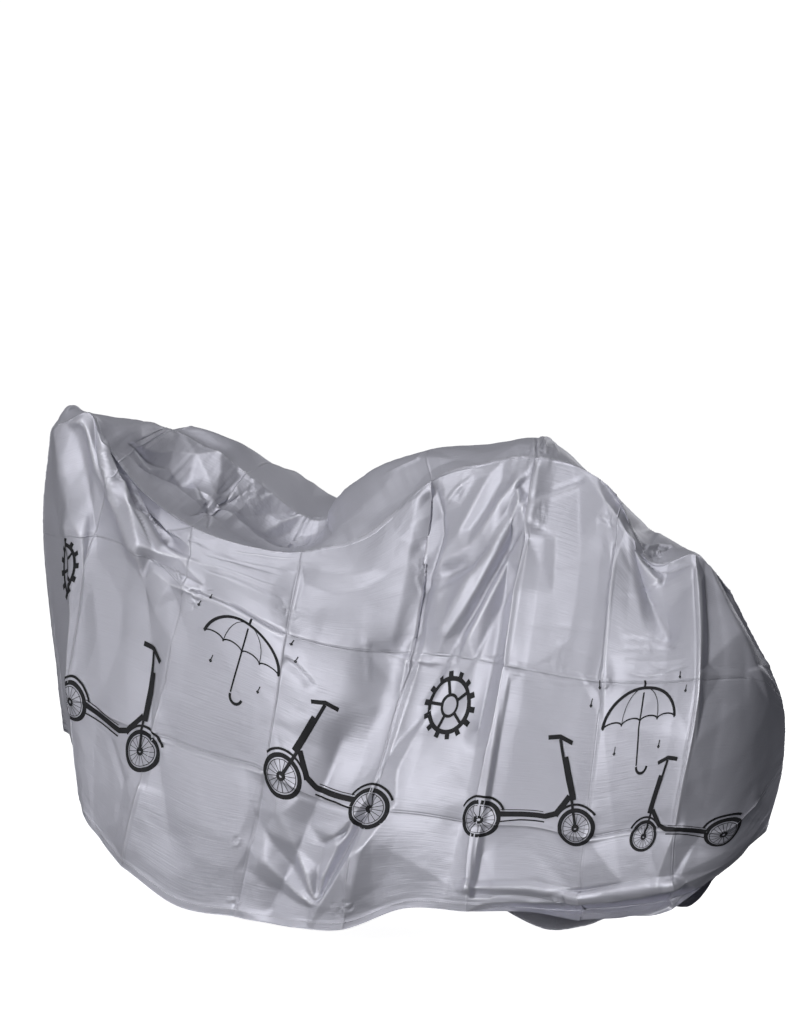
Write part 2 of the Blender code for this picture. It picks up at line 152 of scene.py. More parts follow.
stripMainFolds = (
    (0.95, 0.10, 1.60, 0.60, 0.03, 0.04, -0.012), (1.70, 0.55, 2.80, 0.50, 0.04, 0.04, 0.012),
    (1.90, 0.20, 2.10, 0.90, 0.03, 0.03, -0.012), (2.90, 0.25, 3.30, 0.75, 0.03, 0.03, -0.010),
    (4.95, 0.10, 5.05, 0.90, 0.02, 0.02, 0.008), (6.20, 0.15, 6.30, 0.85, 0.03, 0.03, -0.010),
)

# A fine fold follows a path of picture places, x and y in the 790 x 1033 frame. Its rise and
# its half widths on the right and left hand of one who walks the path are in millimetres.
# first and last are the shares of the path over which it grows and fades.
Fold = namedtuple("Fold", "path rise right left first last form", defaults=(0.15, 0.15, "tent"))
nearFineFolds = (
    # below the front seam
    Fold(((203, 553), (235, 562), (283, 575)), -2.0, 6, 9),
    Fold(((202, 568), (230, 577), (257, 588), (293, 600)), -2.4, 7, 10),
    Fold(((190, 560), (222, 568), (262, 583), (290, 590)), 1.6, 8, 6),
    Fold(((228, 603), (253, 617), (291, 634)), -3, 9, 12, 0.1, 0.05),
    Fold(((240, 560), (270, 566), (300, 571)), -1.4, 6, 6),
    Fold(((230, 551), (262, 556), (300, 559)), 1.2, 5, 6),
    Fold(((284, 655), (300, 668), (317, 687)), -4, 22, 7),
    Fold(((367, 634), (368, 655), (369, 682)), 1.2, 5, 5),
    Fold(((108, 734), (116, 760), (127, 788)), -3, 18, 12),
    # the fan below the middle of the top
    Fold(((443, 505), (455, 490), (470, 478)), 3, 8, 6),
    Fold(((500, 562), (505, 556), (512, 545)), 3, 6, 6),
    Fold(((470, 470), (462, 487), (455, 500)), -2, 5, 5),
    Fold(((431, 580), (424, 600), (421, 612)), -3, 5, 6),
    Fold(((415, 575), (420, 590), (424, 600)), 2.5, 5, 5),
    Fold(((321, 842), (334, 836), (349, 828)), -4, 12, 7),
    # between the fifth and the sixth crease
    Fold(((528, 503), (537, 496), (559, 489), (584, 480)), -2.2, 6, 6, 0.02, 0.1),
    Fold(((529, 508), (540, 501), (560, 494), (580, 487)), 1.6, 5, 5),
    Fold(((529, 560), (545, 561), (566, 563), (600, 560)), -0.9, 4, 4),
    Fold(((520, 624), (560, 625), (603, 628)), -1.3, 4, 4),
    Fold(((553, 641), (574, 650), (591, 657)), -1.8, 5, 4),
    Fold(((559, 665), (580, 671), (599, 676)), 1.6, 5, 4),
    Fold(((515, 662), (532, 667), (548, 674)), -1.6, 5, 4),
    Fold(((541, 680), (562, 684), (590, 682)), -1.2, 4, 4),
    Fold(((597, 517), (608, 523), (620, 531)), 2.4, 5, 5),
    Fold(((594, 521), (606, 527), (617, 536)), -2.2, 5, 5),
    Fold(((590, 528), (604, 537), (612, 545)), 1.4, 5, 5),
    # between the sixth and the seventh
    Fold(((612, 592), (630, 594), (654, 596)), 1.6, 5, 5),
    Fold(((614, 632), (645, 634), (680, 640)), 2.0, 5, 4),
    Fold(((622, 634), (648, 639), (674, 645)), -2.0, 5, 4),
    Fold(((616, 647), (640, 646), (668, 650)), -1.6, 5, 4),
    Fold(((616, 657), (658, 658), (680, 655)), 1.8, 5, 4),
    Fold(((640, 664), (660, 668), (684, 662)), -1.8, 5, 4),
    Fold(((622, 669), (640, 673), (655, 670)), 1.5, 5, 4),
    # the tucked band
    Fold(((553, 888), (557, 898), (561, 910)), 5, 6, 6),
    Fold(((561, 888), (566, 900), (570, 912)), -5, 6, 6),
    Fold(((604, 893), (625, 889), (650, 884)), -2, 5, 5),
)

# lines of crisp creases: each point's picture place and its height in millimetres. The film
# between the lines lies in flat facets.
nearCreaseNet = (
    # the front peak: ridges that fan out from it, and the pocket under the taut seam
    ((55, 440, 2), (59, 465, 6), (67, 499, 9), (82, 535, 9), (84, 570, 6), (82, 610, 0)),
    ((72, 430, -3), (82, 465, -8), (88, 500, -8), (94, 530, -4), (98, 560, 0)),
    ((80, 423, 3), (93, 450, 6), (108, 486, 7), (116, 512, 5), (120, 540, 2)),
    ((98, 424, 3), (106, 450, 10), (117, 478, 18), (129, 512, 23), (140, 546, 20)),
    ((115, 459, -7), (128, 481, -22), (143, 505, -28), (156, 524, -24), (169, 540, -12), (184, 551, -4)),
    ((140, 546, 18), (160, 553, 9), (180, 558, 5), (203, 562, 0)),
    ((150, 560, 2), (168, 568, -4), (186, 576, -4), (205, 585, -1)),
    ((140, 546, 18), (156, 570, 9), (172, 584, 7), (188, 590, 6), (204, 600, 0)),
    ((140, 546, 18), (147, 580, 9), (158, 610, 6), (172, 640, 3), (184, 668, 0)),
    ((176, 600, -3), (182, 618, -2), (190, 640, 0)),
    ((128, 560, 2), (121, 600, -4), (118, 645, -4), (116, 690, 0)),
    ((94, 590, 3), (99, 640, 4), (102, 690, 0)),
    # the two front creases below
    ((158, 700, 2), (155, 732, 4), (140, 778, 3), (133, 820, 4), (126, 862, 2)),
    ((73, 696, 2), (95, 705, -2), (120, 716, 1), (155, 732, 4)),
    ((155, 732, 4), (175, 738, -4), (210, 750, -4), (245, 762, -3), (264, 768, 3)),
    ((155, 732, 4), (168, 760, 4), (176, 810, 5), (190, 850, 4), (207, 885, 0)),
    ((264, 768, 3), (250, 802, 0), (238, 836, 4), (234, 870, 3), (232, 905, 1)),
    ((264, 768, 3), (278, 780, 4), (295, 792, 0)),
    # from the third crease to the fourth
    ((301, 560, 2), (291, 632, 3), (283, 670, -1), (275, 720, -2), (264, 768, 3)),
    ((291, 632, 3), (320, 638, -2), (360, 645, -2), (408, 656, 2)),
    ((304, 582, -2), (335, 593, -5), (362, 588, -4), (388, 573, 0)),
    ((308, 568, 2), (340, 574, 3), (375, 570, 3)),
    ((398, 538, 0), (412, 524, 5), (431, 514, 12)),
    ((410, 560, 2), (420, 548, 0), (430, 536, 8)),
    # the fourth crease stands proud of the pocket behind it
    ((431, 490, 5), (431, 514, 12), (431, 536, 12), (430, 558, 11), (421, 588, 8), (416, 626, 7),
     (407, 660, 6),
     (400, 696, 3)),
    ((436, 496, -4), (438, 515, -12), (440, 535, -12), (436, 556, -6), (431, 577, -2), (427, 600, -2),
     (423, 630, -2), (414, 662, -2)),
    ((436, 577, -3), (450, 573, -10), (470, 562, -8), (486, 545, -5), (500, 520, -4), (516, 486, -6)),
    ((440, 562, 3), (455, 556, 5), (468, 548, 6), (484, 530, 9), (500, 505, 9), (514, 484, 3)),
    ((446, 547, 4), (458, 533, 4), (472, 508, 5), (490, 474, 3)),
    ((448, 525, -4), (460, 505, -4), (474, 482, -3)),
    ((470, 530, -3), (484, 510, -4), (500, 482, -4)),
    ((438, 590, 4), (455, 583, 5), (473, 572, 6), (490, 552, 8), (505, 526, 10), (518, 500, 8)),
    ((430, 662, 2), (443, 640, 6), (470, 599, 9), (492, 560, 10), (510, 530, 8), (524, 508, 5)),
    ((430, 690, 0), (441, 670, -4), (462, 630, -6), (484, 592, -6), (505, 555, -5), (523, 522, -6)),
    ((418, 705, 2), (442, 688, 5), (470, 634, 8), (491, 592, 8), (509, 556, 6), (524, 530, 0)),
    ((452, 690, -3), (474, 655, -4), (494, 615, -4), (512, 575, -6), (525, 535, -8)),
    # down from there to the tucked hem's fan
    ((450, 660, 2), (436, 700, 6), (415, 735, 9), (398, 768, 13), (397, 800, 15), (372, 832, 15),
     (345, 868, 14),
     (322, 900, 8)),
    ((420, 720, 0), (400, 738, -2), (382, 765, -8), (371, 800, -12), (350, 838, -12), (332, 872, -10),
     (320, 898, -6)),
    ((372, 790, -2), (356, 812, 2), (338, 845, 4), (324, 875, 4), (318, 896, 2)),
    ((322, 842, -6), (335, 834, 2), (352, 826, -2)),
    ((322, 842, -6), (318, 866, -8), (317, 890, -6)),
    ((322, 842, -6), (312, 822, 0), (300, 796, 2)),
    ((316, 898, 2), (308, 872, 6), (296, 842, 8), (280, 812, 6), (268, 786, 2)),
    ((314, 900, -2), (298, 874, -5), (280, 850, -6), (262, 826, -3), (252, 808, 0)),
    ((312, 901, 4), (290, 882, 6), (268, 862, 6), (248, 846, 3), (238, 836, 4)),
    ((308, 905, -2), (284, 893, -3), (262, 880, -3), (244, 866, 0)),
    ((322, 900, 8), (335, 901, 4), (352, 903, 2), (375, 905, 0)),
    # the fifth crease: its rear side stands out above, its front side below
    ((535, 470, 3), (531, 490, 6), (527, 520, 8), (516, 590, 7), (506, 655, 5)),
    ((531, 472, -4), (526, 498, -8), (522, 525, -6), (511, 590, -3), (500, 655, -2)),
    ((506, 655, 5), (501, 690, 4), (492, 745, 6), (483, 803, 6), (477, 840, 6), (468, 893, 5)),
    ((509, 680, -1), (497, 745, -2), (488, 804, -3), (481, 850, -3), (473, 893, -2)),
    ((554, 496, 4), (555, 540, 6), (552, 590, 5), (547, 640, 2)),
    ((576, 492, 0), (577, 540, -3), (573, 590, -3), (566, 640, -1)),
    ((408, 656, 2), (425, 665, -2), (455, 662, -2), (480, 656, 0), (506, 655, 5)),
    ((506, 655, 5), (540, 658, 1), (575, 664, 1), (602, 674, 3)),
    # the light edge below the top's rear end, and the sixth crease
    ((586, 478, 4), (604, 504, 9), (622, 532, 13), (638, 556, 14), (656, 582, 8)),
    ((596, 478, -2), (612, 500, -6), (628, 524, -8), (644, 545, -10), (660, 572, -6)),
    ((616, 548, 4), (612, 560, 7), (608, 592, 7), (603, 655, 5), (602, 674, 3), (599, 719, 5), (583, 832, 5),
     (579, 884, 3)),
    ((611, 545, 0), (606, 562, -2), (601, 600, -3), (597, 650, -2), (594, 690, -2)),
    ((632, 560, 8), (636, 585, 5), (636, 620, 2), (632, 650, 1)),
    ((658, 585, 2), (660, 610, -5), (662, 640, -5), (660, 665, -2)),
    ((602, 674, 3), (625, 679, -3), (655, 682, -4), (672, 672, 0), (690, 668, 4)),
    # the seventh crease and the rear
    ((690, 566, 2), (694, 580, 5), (695, 613, 6), (692, 668, 5), (688, 736, 5), (680, 775, 5), (672, 817, 5),
     (668, 868, 3)),
    ((700, 572, -4), (702, 613, -7), (702, 660, -6), (697, 700, -3)),
    ((704, 566, 4), (716, 596, 7), (732, 632, 9), (748, 668, 9), (760, 700, 4)),
    ((700, 560, 0), (722, 588, -6), (742, 628, -7), (758, 664, -3)),
    ((692, 668, 5), (715, 672, -2), (740, 668, 0), (768, 664, 2)),
    ((734, 700, 2), (742, 740, 4), (748, 770, 3), (752, 800, 0)),
    # the lower level crease, the roll over the tucked band and the band
    ((483, 806, 6), (510, 812, -2), (550, 822, -3), (586, 832, 5)),
    ((586, 832, 5), (610, 824, -3), (640, 819, -3), (672, 817, 5)),
    ((672, 817, 5), (705, 810, -2), (735, 808, -2), (755, 814, 2)),
    ((470, 893, 5), (500, 892, 6), (533, 888, 7), (578, 881, 9), (620, 874, 10), (655, 868, 10),
     (674, 866, 9),
     (716, 843, 9), (748, 824, 7)),
    ((480, 899, 3), (533, 897, 7), (578, 894, 11), (620, 888, 13), (655, 881, 13), (680, 873, 12),
     (716, 854, 9),
     (746, 833, 5)),
    ((495, 903, -5), (540, 906, -16), (578, 908, -24), (620, 905, -28), (655, 899, -27), (686, 887, -20),
     (710, 871, -14), (742, 848, -6)),
    ((520, 907, 2), (577, 918, -4), (625, 914, -5), (664, 900, 2), (694, 881, 1), (720, 863, 0)),
    ((690, 834, 2), (715, 826, 4), (745, 819, 4)),
)
stripCreaseNet = (
    ((113, 452, 1), (145, 470, 7), (175, 490, 8), (204, 515, 4)),
    ((125, 441, -3), (169, 467, -6), (198, 488, -7), (209, 508, -6)),
    ((138, 445, 2), (170, 452, 5), (194, 457, 8), (219, 455, 11)),
    ((219, 455, 11), (219, 475, 9), (214, 496, 3), (210, 510, -4)),
    ((190, 470, -2), (205, 478, 6), (219, 475, 9)),
    ((210, 510, -4), (230, 498, 5), (253, 482, 3)),
    ((228, 488, -3), (240, 476, -3)),
    ((210, 510, -4), (238, 504, 1), (255, 500, 4), (274, 491, 5)),
    ((216, 522, 3), (245, 514, -4), (269, 513, -4), (294, 514, 0)),
    ((262, 532, 0), (280, 523, 6), (299, 516, 7), (329, 521, 5)),
    ((206, 527, 1), (230, 529, -3), (290, 531, -3), (325, 529, 0)),
    ((329, 521, 5), (343, 528, 7), (357, 536, 3)),
    ((384, 508, -2), (402, 500, -5), (424, 482, -3)),
    ((384, 490, 3), (400, 470, 5), (418, 461, 5), (428, 452, 2)),
    ((430, 470, -3), (455, 459, -3), (478, 452, 0)),
    ((495, 458, 2), (515, 449, 4), (531, 441, 3)),
)

# pressed packing creases: from place to place on the cloth, then as above
nearCreases = (
    (1, 0.35, 1, 0.98, -1.2, 5, 5), (1, 1.00, 1, 2.00, 1.3, 6, 5), (1, 2.00, 1, 2.98, 1.2, 5, 6),
    (2, 0.15, 2, 1.00, -1.4, 5, 5), (2, 1.00, 2, 1.75, -1.2, 5, 5), (2, 1.75, 2, 2.98, 1.5, 5, 5),
    (2.04, 2.00, 2.04, 2.40, -1.0, 4, 4), (3, 0.12, 3, 1.00, -1.2, 5, 5), (3, 1.00, 3, 2.00, 1.2, 5, 5),
    (3, 2.00, 3, 2.98, -1.6, 4, 7), (4, 0.60, 4, 1.10, 1.6, 7, 4), (4, 1.10, 4, 2.00, 1.2, 5, 5),
    (4, 2.00, 4, 2.90, 1.3, 5, 5), (5, 0.03, 5, 1.00, 1.8, 5, 8), (4.96, 0.05, 4.96, 1.00, -1.4, 5, 4),
    (5, 1.00, 5, 2.00, 1.7, 7, 4), (5.03, 1.00, 5.03, 2.00, -1.4, 4, 6), (5, 2.00, 5, 2.70, 1.5, 6, 4),
    (5.03, 2.00, 5.03, 2.70, -1.2, 4, 5), (6, 0.30, 6, 1.00, 1.3, 5, 9), (5.96, 0.25, 5.96, 1.00, -1.5, 6, 4),
    (6, 1.00, 6, 2.00, -1.3, 5, 5), (6, 2.00, 6, 2.66, -1.3, 5, 5), (7, 0.10, 7, 2.00, 1.4, 5, 7),
    (6.97, 0.10, 6.97, 2.00, -1.2, 5, 3), (7, 2.00, 7, 2.66, -1.4, 5, 5), (7, 2.66, 7, 3.00, -1.0, 4, 4),
    (1, 1, 2, 1, -1.0, 6, 5), (2, 1, 3, 1, -2.2, 8, 6), (2, 1.03, 3, 1.03, 1.2, 6, 4),
    (3, 1, 4, 1, -1.6, 8, 5), (4, 1, 5, 1, -0.9, 5, 5), (5, 1, 6, 1, 1.2, 5, 5),
    (6, 1, 7, 1, -1.6, 8, 5), (7, 1, 7.5, 1, -1.0, 6, 5),
    (1, 2, 2, 2, 1.2, 7, 6), (2, 2, 3, 2, -2.2, 8, 5), (2, 2.03, 3, 2.03, 1.2, 6, 4), (3, 2, 4, 2, 1.6, 9, 9),
    (4, 2, 5, 2, -1.2, 8, 8), (5, 2, 6, 2, 1.5, 8, 8), (6, 2, 7, 2, -2.0, 9, 5),
    (6, 2.03, 7, 2.03, 1.2, 6, 4), (7, 2, 7.8, 2, 2.0, 9, 9),
)
farCreases = tuple((v, 0.3, v, 3.98, 1.4 if v % 2 else -1.4, 5, 6) for v in range(1, 8)) + tuple(
    (v, level, v + 1, level, 1.2 if (v + level) % 2 else -1.6, 6, 6) for v in range(8) for level in (1, 2, 3))
stripFineFolds = (
    Fold(((209, 512), (209, 520), (207, 530)), -4, 6, 6, 0.02, 0.2),
    Fold(((212, 505), (200, 498), (190, 479)), 3, 5, 5, 0.02, 0.2),
    Fold(((326, 525), (332, 534), (335, 541)), -4, 4, 4),
    Fold(((220, 533), (262, 538), (300, 538), (322, 536)), 2, 3, 3),
    Fold(((384, 478), (400, 470), (418, 462), (428, 453)), 2.5, 5, 5),
    Fold(((535, 437), (535, 448), (535, 459)), -5, 4, 4, 0.1, 0.02),
    Fold(((541, 438), (544, 447), (544, 456)), 4, 4, 4),
    Fold(((553, 445), (555, 452), (556, 459)), 3, 4, 4),
    Fold(((638, 544), (655, 545), (674, 547)), 5, 8, 6),
    Fold(((644, 556), (655, 553), (668, 547)), -5, 6, 6),
)

# crumpled spots: picture place, radius and depth in millimetres, and how many small creases
nearCrumples = (
    (200, 595, 22, 2.2, 16), (176, 572, 16, 1.6, 10), (424, 566, 16, 2.6, 16), (238, 842, 14, 1.6, 8),
    (266, 771, 12, 1.6, 8), (155, 735, 12, 1.4, 8), (767, 684, 20, 2.2, 14), (732, 606, 22, 1.4, 10),
    (608, 522, 14, 1.4, 8), (540, 515, 16, 1.2, 10), (604, 682, 12, 1.2, 6), (478, 822, 10, 1.2, 6),
    (345, 903, 22, 1.8, 12), (560, 900, 20, 1.6, 12), (236, 905, 16, 1.2, 8), (290, 610, 30, 1.2, 12),
    (645, 640, 40, 1.0, 14), (560, 655, 40, 0.9, 12), (755, 790, 24, 1.4, 10),
)
stripCrumples = (
    (212, 505, 22, 2.0, 14), (330, 524, 22, 1.6, 12), (614, 498, 30, 2.6, 16), (280, 533, 50, 0.9, 12),
    (655, 553, 24, 2.2, 14), (538, 448, 24, 1.6, 10), (250, 500, 40, 1.4, 12),
)


# cloth surfaces


def showObject(name, data):
    piece = bpy.data.objects.new(name, data)
    bpy.context.scene.collection.objects.link(piece)
    return piece


def seen(points):  # where a point shows in the picture's frame, in its pixels
    x, y, z = points[..., 0], points[..., 1], points[..., 2]
    return np.stack((410 + 480 * (0.891 * x + 0.454 * y),
                     925 - 480 * (0.996 * z - 0.087 * (0.454 * x - 0.891 * y))), -1)


def through(knots, values, at):  # smooth curve through a table's values, at uneven knots
    knots = np.asarray(knots, float)
    values = np.asarray(values, float)
    spans = np.diff(knots)
    shape = (-1,) + (1,) * (values.ndim - 1)
    slopes = np.diff(values, axis=0) / spans.reshape(shape)
    tangents = np.empty_like(values)
    tangents[0], tangents[-1] = slopes[0], slopes[-1]
    before, after = spans[:-1].reshape(shape), spans[1:].reshape(shape)
    tangents[1:-1] = (slopes[:-1] * after + slopes[1:] * before) / (before + after)
    cell = np.clip(np.searchsorted(knots, at, side="right") - 1, 0, len(spans) - 1)
    span = spans[cell].reshape(shape)
    t = ((at - knots[cell]) / spans[cell]).reshape(shape)
    return ((2 * t**3 - 3 * t**2 + 1) * values[cell] + (t**3 - 2 * t**2 + t) * span * tangents[cell]
            + (3 * t**2 - 2 * t**3) * values[cell + 1] + (t**3 - t**2) * span * tangents[cell + 1])


def unit(vectors):
    return vectors / np.maximum(np.linalg.norm(vectors, axis=-1, keepdims=True), 1e-9)


def gridNormals(points):
    return unit(np.cross(np.gradient(points, axis=0), np.gradient(points, axis=1)))


def smooth(t):
    t = np.clip(t, 0, 1)
    return t * t * (3 - 2 * t)


def mainHeights(folds, along, down, downScale):
    height = np.zeros((len(along), len(down)))
    place = np.stack(np.meshgrid(along * cover["creasePitch"], down * downScale, indexing="ij"), -1)
    for along0, down0, along1, down1, wide0, wide1, rise in folds:
        start = np.array((along0 * cover["creasePitch"], down0 * downScale))
        run = np.array((along1 * cover["creasePitch"], down1 * downScale)) - start
        share = np.clip(((place - start) @ run) / (run @ run), 0, 1)
        offset = np.linalg.norm(place - start - share[..., None] * run, axis=-1)
        near = np.clip(1 - offset / (wide0 + (wide1 - wide0) * share), 0, 1)
        height += rise * near ** cover["flank"]
    return height


# how round each form's crest is, as a share of its width; its flanks are flat, as on film
foldForms = {"tent": 0.07, "pinch": 0.03, "broad": 0.02}


def fineHeights(folds, place):  # folds with paths in metres of cloth
    height = np.zeros(place.shape[:-1])
    for fold in folds:
        path = np.array(fold.path)
        reach = max(fold.right, fold.left) / 1000 + 0.001
        low, high = path.min(0) - reach, path.max(0) + reach
        rows = slice(*np.searchsorted(place[:, 0, 0], (low[0], high[0])))
        columns = slice(*np.searchsorted(place[0, :, 1], (low[1], high[1])))
        spots = place[rows, columns]
        if spots.size == 0:
            continue
        nearest = np.full(spots.shape[:-1], 9.0)
        wide, walked = np.ones(nearest.shape), np.zeros(nearest.shape)
        done = 0.0
        for start, end in zip(path, path[1:]):
            leg = np.linalg.norm(end - start)
            way = (end - start) / leg
            offset = spots - start
            share = np.clip(offset @ way, 0, leg)
            gap = np.linalg.norm(offset - share[..., None] * way, axis=-1)
            turn = way[0] * offset[..., 1] - way[1] * offset[..., 0]
            closer = gap < nearest
            nearest = np.where(closer, gap, nearest)
            wide = np.where(closer, np.where(turn > 0, fold.right, fold.left), wide)
            walked = np.where(closer, done + share, walked)
            done += leg
        away = np.minimum(nearest * 1000 / wide, 1)
        crest = foldForms[fold.form]
        near = 1 - (np.hypot(away, crest) - crest) / (math.hypot(1, crest) - crest)
        near = near**2 if fold.form == "broad" else near
        near *= smooth(walked / (done * fold.first)) * smooth((done - walked) / (done * fold.last))
        height[rows, columns] += fold.rise / 1000 * near
    return height


def creaseFolds(creases, downScale):
    scale = np.array((cover["creasePitch"], downScale))
    folds = []
    for a, b, c, d, rise, right, left in creases:
        path = [np.array((a, b)) * scale, np.array((c, d)) * scale]
        folds += [Fold(path, rise * 1.15, right * 0.75, left * 0.75, 0.03, 0.03, "pinch"),
                  Fold(path, rise * 3.0, 85, 85, 0.12, 0.12, "broad")]    # the cloth kinks along the crease
    return folds


def netHeights(sheet, net):  # flat facets between the net's lines, as heights on the sheet's grid
    place, reach = sheet["place"], sheet["place"][-1, -1]
    spots, rises, edges = [], [], []
    for line in net:
        last = None
        for x, y, rise in line:
            spot = placeOnSheet(sheet, (x, y))
            same = [k for k, other in enumerate(spots) if np.linalg.norm(other - spot) < 0.004]
            if not same:
                spots.append(spot)
                rises.append(rise / 1000 * cover["netDepth"])
            here = same[0] if same else len(spots) - 1
            if last is not None and last != here:
                edges.append((last, here))
            last = here
    for share in np.linspace(0, 1, 25):
        for spot in ((share * reach[0], 0), (share * reach[0], reach[1])) + (
                ((0, share * reach[1]), (reach[0], share * reach[1])) if 0 < share < 1 else ()):
            spots.append(np.array(spot))
            rises.append(0)
    points, _, faces, origins, _, _ = delaunay_2d_cdt([Vector(spot) for spot in spots], edges, [], 0, 1e-6)
    points = np.array([tuple(point) for point in points])
    given = np.array(spots)
    tops = []
    for point, origin in zip(points, origins):
        if origin:
            tops.append(rises[origin[0]])
        else:    # where two creases cross, the height is between their ends'
            gaps = np.linalg.norm(given - point, axis=1)
            close = gaps.argsort()[:3]
            tops.append(np.average(np.array(rises)[close], weights=1 / gaps[close]))
    height = np.zeros(place.shape[:-1])
    across, down = place[:, 0, 0], place[0, :, 1]
    for face in faces:
        a, b, c = (points[k] for k in face)
        rows = slice(*np.searchsorted(across, (min(a[0], b[0], c[0]) - 1e-6, max(a[0], b[0], c[0]) + 1e-6)))
        columns = slice(*np.searchsorted(down, (min(a[1], b[1], c[1]) - 1e-6, max(a[1], b[1], c[1]) + 1e-6)))
        area = (b[0] - a[0]) * (c[1] - a[1]) - (b[1] - a[1]) * (c[0] - a[0])
        if abs(area) < 1e-12:
            continue
        x, y = place[rows, columns, 0] - a[0], place[rows, columns, 1] - a[1]
        second = (x * (c[1] - a[1]) - y * (c[0] - a[0])) / area
        third = (y * (b[0] - a[0]) - x * (b[1] - a[1])) / area
        inside = (second > -1e-6) & (third > -1e-6) & (second + third < 1 + 1e-6)
        flat = tops[face[0]] * (1 - second - third) + tops[face[1]] * second + tops[face[2]] * third
        height[rows, columns] = np.where(inside, flat, height[rows, columns])
    return height


def placeOnSheet(sheet, pixel):  # the place on the cloth that shows at a picture place
    gap = ((sheet["seen"] - pixel) ** 2).sum(-1) + np.where(sheet["facing"], 0, 1e6)
    i, j = np.unravel_index(gap.argmin(), gap.shape)
    i = min(max(i, 1), gap.shape[0] - 2)
    j = min(max(j, 1), gap.shape[1] - 2)
    at, place = sheet["seen"], sheet["place"]
    steps = np.stack((at[i + 1, j] - at[i - 1, j], at[i, j + 1] - at[i, j - 1]), -1) / 2
    move = np.clip(np.linalg.lstsq(steps, np.array(pixel) - at[i, j], rcond=None)[0], -1, 1)
    return (place[i, j] + move[0] * (place[i + 1, j] - place[i - 1, j]) / 2
            + move[1] * (place[i, j + 1] - place[i, j - 1]) / 2)


def onSheet(sheet, folds):
    return [fold._replace(path=[placeOnSheet(sheet, pixel) for pixel in fold.path]) for fold in folds]


def crumpleFolds(sheet, spots, seed):  # short straight creases scattered over each spot
    dice = np.random.default_rng(seed)
    folds = []
    for x, y, radius, depth, count in spots:
        centre = placeOnSheet(sheet, (x, y))
        for _ in range(count):
            middle = centre + dice.normal(0, radius / 2200, 2)
            angle = dice.uniform(0, math.pi)
            half = np.array((math.cos(angle), math.sin(angle))) * dice.uniform(0.25, 0.6) * radius / 1000
            wide = dice.uniform(2.5, 5.5)
            folds.append(Fold([middle - half, middle, middle + half], dice.choice((-1, 1)) * depth
                              * dice.uniform(0.5, 1), wide, wide * dice.uniform(0.6, 1.8), 0.3, 0.3))
    return folds


def puckers(line, inward, seed, settings):  # short creases that run from a seam into the cloth
    dice = np.random.default_rng(seed)
    lengths = np.concatenate(([0], np.cumsum(np.linalg.norm(np.diff(line, axis=0), axis=1))))
    folds, at = [], settings["pitch"]
    while at < lengths[-1] - settings["pitch"]:
        start = np.array([np.interp(at, lengths, line[:, k]) for k in (0, 1)])
        way = np.array([np.interp(at, lengths, inward[:, k]) for k in (0, 1)])
        way = unit(way + dice.normal(0, 0.35, 2))
        length = settings["length"] * dice.uniform(0.4, 1.5)
        wide = settings["width"] * dice.uniform(0.7, 1.4)
        rise = settings["rise"] * dice.uniform(0.3, 1.2) * dice.choice((-1, 1, 1))
        folds.append(Fold([start - way * 0.004, start + way * length], rise, wide, wide, 0.02, 0.8))
        at += settings["pitch"] * dice.uniform(0.5, 1.5)
    return folds


def facets(place, seed, cell, slope):  # flat facets with crisp edges, as on film that was folded up
    dice = np.random.default_rng(seed)
    spots = place / cell
    corner = np.floor(spots).astype(int)
    low = corner.min((0, 1)) - 2
    shape = tuple(corner.max((0, 1)) - low + 3)
    centres = dice.uniform(0.05, 0.95, shape + (2,))
    tilts = dice.uniform(-1, 1, shape)
    around = []
    for stepX in (-2, -1, 0, 1, 2):
        for stepY in (-2, -1, 0, 1, 2):
            beside = corner + (stepX, stepY)
            at = np.clip(beside - low, 0, np.array(shape) - 1)
            at = at[..., 0], at[..., 1]
            around.append(((beside + centres[at]) * cell, tilts[at]))
    gaps = np.stack([np.linalg.norm(place - centre, axis=-1) for centre, _ in around])
    first = gaps.argmin(0)[None]
    own = np.stack([np.take_along_axis(np.stack([centre[..., k] for centre, _ in around]), first, 0)[0]
                    for k in (0, 1)], -1)
    tilt = np.take_along_axis(np.stack([tilt for _, tilt in around]), first, 0)[0]
    nearest = gaps.min(0)
    edge = np.full(nearest.shape, 9.0)
    for (centre, _), gap in zip(around, gaps):
        apart = np.linalg.norm(centre - own, axis=-1)
        border = (gap**2 - nearest**2) / (2 * np.maximum(apart, 1e-6))
        edge = np.where(apart > 1e-6, np.minimum(edge, border), edge)
    return edge * tilt * slope


def unevenSteps(cells, steps, crowding):  # mesh steps that crowd together at each packing crease
    t = np.arange(steps) / steps
    inside = t - crowding * np.sin(2 * math.pi * t) / (2 * math.pi)
    return np.concatenate([cell + inside for cell in range(cells)] + [[cells]])


downShares = unevenSteps(3, cover["levelSteps"], cover["crowding"]) / 3
alongPlaces = unevenSteps(cover["creases"], cover["stepsPerCrease"], cover["crowding"])


def panelSheet(sections, folds, outward):
    levels = np.array([section[1:] for section in sections])
    lastLevel = levels.shape[1] - 1
    down = downShares * lastLevel
    columns = through([section[0] for section in sections], levels, alongPlaces)
    points = np.swapaxes(through(range(lastLevel + 1), np.swapaxes(columns, 0, 1), down), 0, 1)
    downScale = cover["levelPitch"] * 3 / lastLevel
    normals = outward * gridNormals(points)
    points = points + mainHeights(folds, alongPlaces, down, downScale)[..., None] * normals
    place = np.stack(np.meshgrid(alongPlaces * cover["creasePitch"], down * downScale, indexing="ij"), -1)
    return finishSheet(points, outward, place)


def finishSheet(points, outward, place):
    normals = outward * gridNormals(points)
    back = np.array((0.452, -0.888, 0.087))
    return {"points": points, "normals": normals, "outward": outward, "place": place,
            "seen": seen(points), "facing": normals @ back > 0.03}


def raiseSheet(sheet, heights):
    points = sheet["points"] + heights[..., None] * sheet["normals"]
    return finishSheet(points, sheet["outward"], sheet["place"])


def sewnEdge(grid):
    return np.concatenate((grid[0, :0:-1], grid[:, 0], grid[-1, 1:]))


